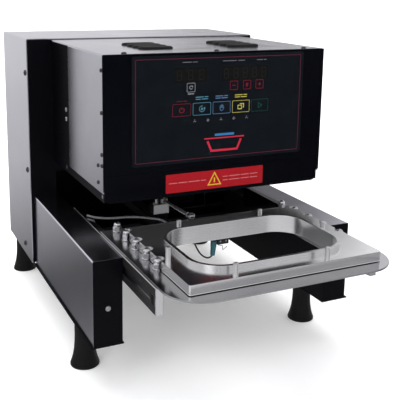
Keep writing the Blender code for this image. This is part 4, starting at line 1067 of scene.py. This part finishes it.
def die():
    """Milled die with nut reliefs, the sealing lip with its collar, and the locating pins."""
    half_x, front, rear = DIE_HIGH.x, DIE_LOW.y, DIE_HIGH.y
    relief = 8.6 * MM
    meet = math.degrees(math.acos((NUT_X - half_x) / relief))
    right, left = [], []
    for y in sorted(NUT_ROWS[1:]):
        right += arc((NUT_X, y), relief, 180 + meet, 180 - meet, 14)
    for y in sorted(NUT_ROWS[1:], reverse=True):
        left += arc((-NUT_X, y), relief, meet, -meet, 14)
    chamfer = 1.6 * MM
    outline = [(half_x - chamfer, front), (half_x, front + chamfer)] + right
    outline += [(half_x, rear), (-half_x, rear)] + left
    outline += [(-half_x, front + chamfer), (-half_x + chamfer, front)]
    bottom = PLATE_HIGH.z + 0.9 * MM
    mesh = sheet_mesh([outline, opening(4.6 * MM)], bottom, DIE_TOP, 0.5 * MM)
    block = flattened(settle("die_block", mesh, "drawer", "die_aluminium"))
    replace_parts(block, "tray_die")
    # A black sheet set back under the die's edge: its black paints the shadow in the gap between die and
    # plate
    shadow_gap_half = (half_x - 10 * MM, (rear - front) / 2 - 1.6 * MM)
    shadow_gap_outline = rounded((0, (front + rear) / 2), shadow_gap_half, 6 * MM, 6)
    shadow_gap_span = (PLATE_HIGH.z + 0.3 * MM, bottom + 0.3 * MM)
    shadow_gap_sheet = sheet_mesh([shadow_gap_outline, opening(4.6 * MM)], *shadow_gap_span, 0.1 * MM)
    settle("die_shadow_gap_sheet", shadow_gap_sheet, "drawer", "rubber", SHADOW_GAP_BLACK)

    top, wide = LIP_TOP, LIP_WIDTH
    ease = 0.5 * MM
    profile = [
        (0, DIE_LOW.z + ease), (0, top - ease), (ease * 0.3, top - ease * 0.3), (ease, top),
        (wide - ease, top), (wide - ease * 0.3, top - ease * 0.3), (wide, top - ease),
        (wide, bottom + 1 * MM), (COLLAR_WIDTH, bottom + 1 * MM),
        (COLLAR_WIDTH, DIE_LOW.z + ease), (COLLAR_WIDTH - ease, DIE_LOW.z), (ease, DIE_LOW.z),
    ]
    flattened(settle("sealing_lip", ring_mesh(profile), "drawer", "die_aluminium", LIP_METAL))

    foot = DIE_TOP - 2 * MM
    for index, (x, y, height) in enumerate(PINS):
        pin = [(0, height), (PIN_RADIUS - 0.9 * MM, height), (PIN_RADIUS - 0.15 * MM, height - 0.6 * MM)]
        pin += [(PIN_RADIUS, height - 1.2 * MM), (PIN_RADIUS, foot), (0, foot)]
        lathe(f"locating_pin_{index + 1}", pin, (x, y, 0), 40, "drawer", "die_aluminium", PIN_METAL)


def plate():
    """Polished drawer plate with round front corners."""
    half_x, corner = PLATE_HIGH.x, 49 * MM
    outline = [(half_x, PLATE_HIGH.y), (-half_x, PLATE_HIGH.y)]
    outline += arc((-half_x + corner, PLATE_LOW.y + corner), corner, 180, 270, 32)
    outline += arc((half_x - corner, PLATE_LOW.y + corner), corner, 270, 360, 32)
    holes = [opening(COLLAR_WIDTH + 0.5 * MM)]
    mesh = sheet_mesh([outline] + holes, PLATE_LOW.z, PLATE_HIGH.z, 0.5 * MM)
    made = flattened(settle("plate_sheet", mesh, "drawer", "polished_steel"))
    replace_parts(made, "drawer_plate")
    catch_low, catch_high = (102 * MM, -322 * MM, PLATE_LOW.z - 6.4 * MM), (111 * MM, -316 * MM, PLATE_LOW.z)
    catch = box_mesh(catch_low, catch_high)
    bevelled(settle("plate_catch", catch, "drawer", "plated_steel"), 0.6 * MM, 3)


def nuts():
    """Cap nuts on washers, with the rails they are screwed to."""
    seat = PLATE_HIGH.z
    for side, label in SIDES:
        low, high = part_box(f"{label}_nut_rail")
        left, right = (low.x, -RAIL_INNER) if side < 0 else (RAIL_INNER, high.x)
        rail = box_mesh((left, low.y, low.z), (right, high.y, PLATE_LOW.z))
        made = settle(f"{label}_stud_rail", rail, "drawer", "chrome", MATERIALS["plated_steel"])
        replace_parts(bevelled(made, 0.6 * MM), f"{label}_nut_rail")
        for index, y in enumerate(NUT_ROWS):
            place = (side * NUT_X, y, seat)
            turn = 11 + 37 * index + (20 if side > 0 else 0)
            name = f"cap_nut_{label}_{index + 1}"
            fastener(name, CAP_NUT, place, "+Z", "drawer", "chrome", NUT_METAL, turn)


def drawer_bars():
    """Drawer bars, with a thin black sheet in each bar's groove and black sheets above and below it, which
    paint the dark reflection on the bar's side face.
    """
    groove = mm(163.2, 174.8)
    for side, label in SIDES:
        refined(f"{label}_drawer_bar", 1.2 * MM, 3, BAR_METAL)
        low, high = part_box(f"{label}_drawer_bar")
        # A thin black sheet on the groove's floor: painted dark reflection
        inner, outer = sorted((side * 150.42 * MM, side * 150.6 * MM))
        groove_reflection_sheet = box_mesh((inner, -249.5 * MM, groove[0]), (outer, 63.5 * MM, groove[1]))
        settle(f"{label}_groove_painted_reflection", groove_reflection_sheet, "drawer", "black_plastic")
        # Thin black sheets over the bar's side above and below the groove: painted dark reflection
        inner, outer = sorted((side * 154.42 * MM, side * 154.6 * MM))
        reflection_strips = {"lower": (low.z + 1 * MM, groove[0]), "upper": (groove[1], high.z - 1 * MM)}
        for name, (bottom, top) in reflection_strips.items():
            side_reflection_sheet = box_mesh((inner, low.y + 2 * MM, bottom), (outer, high.y - 2 * MM, top))
            settle(f"{label}_bar_{name}_strip", side_reflection_sheet, "drawer", "black_plastic")


def carriage():
    """Carriage block with its bolts, and the tie rod with its joints."""
    top, seat = 166.5 * MM, 150.3 * MM
    mesh = box_mesh((BLOCK_LOW.x, 80 * MM, seat), (BLOCK_HIGH.x, 100 * MM, top))
    block = settle("carriage_block_body", mesh, "drawer", "plated_steel", BLOCK_METAL)
    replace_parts(bevelled(block, 0.7 * MM, 3), "carriage_block")
    heads = ((8 * MM, top + 7.3 * MM, 3 * MM, top), (-6.5 * MM, top + 3.4 * MM, 3 * MM, top))
    for index, (x, under, shank, low) in enumerate(heads):
        cap = under + 5 * MM
        profile = [(0, cap - 2.4 * MM), (2.3 * MM, cap - 2.4 * MM), (2.3 * MM, cap), (4.6 * MM, cap)]
        profile += [(5 * MM, cap - 0.5 * MM), (5 * MM, under), (shank, under), (shank, low), (0, low)]
        lathe(f"block_bolt_{index + 1}", profile, (x, 90 * MM, 0), 32, "drawer", "chrome", JOINT_METAL)
    spacer = [(5 * MM, top), (5 * MM, top + 3.2 * MM), (3.1 * MM, top + 3.2 * MM), (3.1 * MM, top)]
    lathe("block_spacer", spacer, mm(-6.5, 90, 0), 32, "drawer", "plated_steel")
    clamp_low = BLOCK_LOW.z
    clamp_top, clamp_corner = seat + 1 * MM, mm(11, 87)
    jaw = box_mesh((-7 * MM, 79 * MM, clamp_low), (*clamp_corner, clamp_low + 2.4 * MM))
    cheek = box_mesh((8.2 * MM, 79 * MM, clamp_low + 1 * MM), (*clamp_corner, clamp_top))
    pad = box_mesh((-7 * MM, 80 * MM, clamp_low + 4.4 * MM), (*clamp_corner, clamp_top))
    clamp = boolean_mesh(jaw, [cheek, pad], "UNION")
    bevelled(settle("belt_clamp", clamp, "drawer", "plated_steel", MATERIALS["black_paint"]), 0.3 * MM)
    rod = refined("tie_rod", 0.3 * MM, 2, ROD_METAL)
    rod.data.set_sharp_from_angle(angle=math.radians(50))
    end = Vector((-19.4 * MM, -74 * MM, PLATE_HIGH.z + 6.4 * MM))
    radius = 6.05 * MM
    turns = [math.radians(angle) for angle in range(12, 180, 12)]
    ball = [(radius * math.sin(turn), radius * math.cos(turn)) for turn in turns]
    lathe("ball_joint", [(0, radius)] + ball + [(0, -radius)], end, 40, "drawer", "chrome", JOINT_METAL)
    start = Vector((8 * MM, 90 * MM, BLOCK_HIGH.z - 8.5 * MM))
    way = (end - start).normalized()
    sleeve = tube_mesh([start + way * 9 * MM, start + way * 19 * MM], [3.1 * MM] * 2, 24)
    settle("rod_sleeve", sleeve, "drawer", "chrome", BRONZE)
    nut = tube_mesh([end - way * 19 * MM, end - way * 15.5 * MM], [4.4 * MM] * 2, 6)
    settle("rod_lock_nut", nut, "drawer", "chrome")


def tray_switch():
    """Tray switch with its bent wire lever, lead and shrink sleeve."""
    refined("tray_switch", 0.3 * MM)
    y = (SWITCH_LOW.y + SWITCH_HIGH.y) / 2
    places = [
        (5, 161.9), (8.6, 160.8), (12.2, 159.7), (12.7, 157.6), (12.9, 154.2),
        (13.4, 153.7), (16.6, 155.8), (20, 157.9),
    ]
    lever = tube("lever_wire", [(a * MM, y, b * MM) for a, b in places], 0.55 * MM, "lever", "chrome", 10)
    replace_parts(lever, "switch_lever")
    places = [
        (0.4, 164), (-0.3, 158), (-1.2, 151), (-6, 146), (-12.3, 145.4),
        (-22, 152.5), (-31.5, 169), (-36, 184),
    ]
    route = [(a * MM, y, b * MM) for a, b in places]
    lead = tube("switch_lead_cable", route, 1.15 * MM, "drawer", "black_cable")
    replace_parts(lead, "switch_lead")
    steps = 10
    points, radii = [], []
    for k in range(steps + 1):
        t = k / steps
        points.append(Vector(((-1.5 - 1.6 * t) * MM, y, (169 - 21 * t) * MM)))
        radii.append((4.4 - 1.2 * t ** 1.5 + 0.12 * math.sin(9 * t)) * MM)
    settle("shrink_sleeve", tube_mesh(points, radii, 24), "drawer", "black_cable", TEAL)
    for index, x in enumerate(mm(7.5, 16.5)):
        place = (x, SWITCH_LOW.y, 168 * MM)
        screw(f"switch_screw_{index + 1}", place, "-Y", "drawer", SWITCH_SCREW, 20 * index)


def sensor_cable():
    """Grey cable from the plate's rear edge over to the left bar."""
    places = [
        (-50, -64.5, 181), (-53, -62.5, 187), (-60, -56, 190.5), (-70, -46, 190.6), (-85, -33, 190.4),
        (-102, -25.5, 190.2), (-120, -22, 190), (-133, -15, 189.6), (-142, -5, 188.9), (-149, 8, 188.5),
    ]
    route = [(a * MM, b * MM, c * MM) for a, b, c in places]
    made = tube("sensor_cable_jacket", route, 1.5 * MM, "drawer", "grey_cable", 16)
    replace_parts(made, "sensor_cable")


# ---------------------------------------------------------------- inside


def toothed_belt():
    """Drive belt with teeth on its inner side."""
    low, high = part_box("drive_belt")
    outer = (high.z - low.z) / 2
    centre_z = (high.z + low.z) / 2
    front, rear = low.y + outer, high.y - outer
    half = (high.x - low.x) / 2
    inner = outer - 1.4 * MM
    band = []
    for radius in (outer, inner):
        band.append(arc((rear, centre_z), radius, -90, 90, 24) + arc((front, centre_z), radius, 90, 270, 24))
    form = bmesh.new()
    loops = []
    for outline, x in ((band[0], -half), (band[0], half), (band[1], half), (band[1], -half)):
        loops.append([form.verts.new((x, a, b)) for a, b in outline])
    for loop, after in zip(loops, loops[1:] + loops[:1]):
        bridge(form, loop, after)
    belt = settle("belt_band", mesh_of(form), "machine", "belt_rubber")
    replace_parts(belt, "drive_belt")
    teeth = []
    pitch = 5 * MM
    for run in (1, -1):
        z = centre_z + run * (inner - 0.05 * MM)
        for k in range(int((rear - front) / pitch)):
            y = front + pitch * (k + 0.5)
            tip = z - run * 1.1 * MM
            teeth.append([(y - 1.3 * MM, z), (y + 1.3 * MM, z), (y + 0.8 * MM, tip), (y - 0.8 * MM, tip)])
    mesh = prism_mesh(teeth, "X", -half + 0.2 * MM, half - 0.2 * MM)
    settle("belt_teeth", mesh, "machine", "belt_rubber")


def inside():
    """Everything behind the covers: drives, press, film path and electrics."""
    toothed_belt()
    for node in ("idler_pulley", "drive_pulley", "front_film_roller", "rear_film_roller", "press_screw"):
        refined(node, 0.15 * MM, 1)
    for node in ("drawer_gearmotor", "press_gearmotor", "rewind_motor", "power_supply"):
        refined(node, 0.8 * MM, 3)
    plates = ("platen_carrier", "heated_platen", "trim_knife", "control_board")
    for node in plates + ("film_spindle", "rewind_spindle"):
        refined(node, 0.3 * MM)
    press_low, press_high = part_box("press_gearmotor")
    middle = (press_low.x + press_high.x) / 2
    drive_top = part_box("drawer_gearmotor")[1].z
    for index, side in enumerate((-1, 1)):
        place = (middle + side * 22 * MM, press_low.y, 356 * MM)
        screw(f"press_gearmotor_screw_{index + 1}", place, "-Y", mesh=SMALL_SCREW, turn=40)
    for index, x in enumerate(mm(22, 36)):
        place = (x, 300 * MM, drive_top)
        screw(f"drawer_gearmotor_screw_{index + 1}", place, "+Z", mesh=SMALL_SCREW, turn=15)
    for index, (a, b) in enumerate((mm(-60, -45), mm(60, -45), mm(60, 45), mm(-60, 45))):
        place = (OPENING_CENTRE[0] + a, PRESS_Y + b, 286 * MM)
        screw(f"platen_screw_{index + 1}", place, "+Z", "press", turn=25 * index)


def mains_inlet():
    """Inlet with its rocker and fixing screws."""
    refined("mains_inlet", 0.5 * MM)
    refined("power_rocker", 0.5 * MM, 3)
    centre_x = (INLET_LOW.x + INLET_HIGH.x) / 2
    for side, label in SIDES:
        place = (centre_x + side * 19 * MM, INLET_HIGH.y, 119 * MM)
        screw(f"inlet_screw_{label}", place, "+Y", mesh=SMALL_SCREW, turn=22)


# ---------------------------------------------------------------- stage, camera and light


def stage():
    """Round pale floor that curves up into a low wall on every side."""
    flat, sweep, top = 3.4, 1.1, 3.2
    profile = [(0, 0), (flat, 0)] + arc((flat, sweep), sweep, -90, 0, 20) + [(flat + sweep, top)]
    form = bmesh.new()
    sides = 96
    rings = []
    for radius, z in profile:
        count = sides if radius else 1
        ring = []
        for k in range(count):
            angle = 2 * math.pi * k / sides
            ring.append(form.verts.new((radius * math.cos(angle), radius * math.sin(angle), z)))
        rings.append(ring)
    for k in range(sides):
        form.faces.new((rings[0][0], rings[1][k], rings[1][(k + 1) % sides]))
    for one, after in zip(rings[1:], rings[2:]):
        bridge(form, after, one)
    mesh = bpy.data.meshes.new("floor")
    form.to_mesh(mesh)
    form.free()
    mesh.shade_smooth()
    finish = Finish("pale_floor", (0.93, 0.93, 0.93), 0.9, specular=0.0)
    finish.put("Emission Color", (1.0, 1.0, 1.0, 1.0))
    finish.put("Emission Strength", 0.2)
    mesh.materials.append(finish.material)
    floor = bpy.data.objects.new("floor", mesh)
    bpy.context.scene.collection.objects.link(floor)
    floor.visible_glossy = False


def area_light(name, place, target, size, power, mirrored):
    light = bpy.data.lights.new(name, "AREA")
    light.shape = "RECTANGLE"
    light.size, light.size_y = size
    light.energy = power
    made = bpy.data.objects.new(name, light)
    made.location = place
    made.rotation_euler = (Vector(target) - Vector(place)).to_track_quat("-Z", "Y").to_euler()
    made.visible_glossy = mirrored
    bpy.context.scene.collection.objects.link(made)


# Azimuth, elevation, core and edge in degrees, then the factor outside and inside
STUDIO_PATCHES = [(31, 15, 5, 12, 1.0, 0.1), (44, 25, 6, 14, 1.0, 2.0), (-125, 28, 9, 17, 1.0, 2.3)]


def lights():
    """Even studio light: bright overhead and behind, darker in front."""
    world = bpy.data.worlds.new("studio")
    world.use_nodes = True
    bpy.context.scene.world = world
    nodes, links = world.node_tree.nodes, world.node_tree.links
    place = nodes.new("ShaderNodeTexCoord")
    tilt = nodes.new("ShaderNodeVectorMath")
    tilt.operation = "DOT_PRODUCT"
    tilt.inputs[1].default_value = (0.25, 0.25, 1.0)
    ramp = nodes.new("ShaderNodeValToRGB")
    spread = nodes.new("ShaderNodeMapRange")
    spread.inputs["From Min"].default_value = -1.0
    stops = [
        (-1.0, 0.6), (-0.55, 0.8), (-0.42, 0.6), (-0.31, 0.14), (-0.22, 0.07), (-0.17, 0.27),
        (-0.1, 0.48), (-0.05, 0.62), (0.04, 0.68), (0.09, 0.8), (0.4, 0.85), (0.7, 0.62), (1.0, 0.5),
    ]
    elements = ramp.color_ramp.elements
    while len(elements) < len(stops):
        elements.new(0.5)
    for element, (height, glow) in zip(elements, stops):
        element.position = (height + 1) / 2
        element.color = (glow, glow, glow * 1.03, 1)
    links.new(place.outputs["Generated"], tilt.inputs[0])
    links.new(tilt.outputs["Value"], spread.inputs["Value"])
    links.new(spread.outputs["Result"], ramp.inputs["Fac"])

    def patch(azimuth, elevation, core, edge, outside, inside):
        """A round patch of the studio: one value inside, fading to another outside."""
        turn, rise = math.radians(azimuth), math.radians(elevation)
        toward = (math.sin(turn) * math.cos(rise), math.cos(turn) * math.cos(rise), math.sin(rise))
        dot = nodes.new("ShaderNodeVectorMath")
        dot.operation = "DOT_PRODUCT"
        dot.inputs[1].default_value = toward
        fade = nodes.new("ShaderNodeMapRange")
        fade.interpolation_type = "SMOOTHSTEP"
        fade.inputs["From Min"].default_value = math.cos(math.radians(edge))
        fade.inputs["From Max"].default_value = math.cos(math.radians(core))
        fade.inputs["To Min"].default_value = outside
        fade.inputs["To Max"].default_value = inside
        links.new(place.outputs["Generated"], dot.inputs[0])
        links.new(dot.outputs["Value"], fade.inputs["Value"])
        return fade.outputs["Result"]

    glow = ramp.outputs["Color"]
    for spot in STUDIO_PATCHES:
        step = nodes.new("ShaderNodeVectorMath")
        step.operation = "SCALE"
        links.new(glow, step.inputs["Vector"])
        links.new(patch(*spot), step.inputs["Scale"])
        glow = step.outputs["Vector"]
    links.new(glow, nodes["Background"].inputs["Color"])
    nodes["Background"].inputs["Strength"].default_value = 1.0
    area_light("top_softbox", (0.0, 0.2, 2.8), (0, 0, 0.2), (3.0, 2.4), 40, False)
    area_light("left_softbox", (-1.7, -1.3, 1.3), (0, -0.1, 0.2), (0.8, 1.0), 14, False)
    area_light("backdrop_light", (0.0, 1.2, 3.2), (0, 3.6, 0.6), (4.0, 0.8), 90, False)


def camera():
    """The photograph's viewpoint: a little left of the machine, from above."""
    lens = bpy.data.cameras.new("camera")
    lens.sensor_width = 36
    lens.lens = 64.72
    lens.shift_x = 0.0411
    lens.shift_y = -0.1803
    made = bpy.data.objects.new("camera", lens)
    turn, down, roll = math.radians(24.902), math.radians(11.3055), math.radians(0.7232)
    ahead = Vector((math.sin(turn) * math.cos(down), math.cos(turn) * math.cos(down), -math.sin(down)))
    right = Vector((math.cos(turn), -math.sin(turn), 0))
    up = right.cross(ahead)
    tilted_right = right * math.cos(roll) + up * math.sin(roll)
    tilted_up = up * math.cos(roll) - right * math.sin(roll)
    axes = Matrix((tilted_right, tilted_up, -ahead)).transposed().to_4x4()
    made.matrix_world = Matrix.Translation((-0.4474, -0.9665, 0.5232)) @ axes
    bpy.context.scene.collection.objects.link(made)
    bpy.context.scene.camera = made


BUILDERS = (
    camera, housing, louvre_hoods, arms, feet, head, vent_shade_sheets, vent_hoods, keypad, warning_band,
    die, plate, nuts, drawer_bars, carriage, tray_switch, sensor_cable, inside, mains_inlet, stage,
    lights,
)
for build in BUILDERS:
    build()
bpy.context.scene.view_settings.view_transform = "Standard"
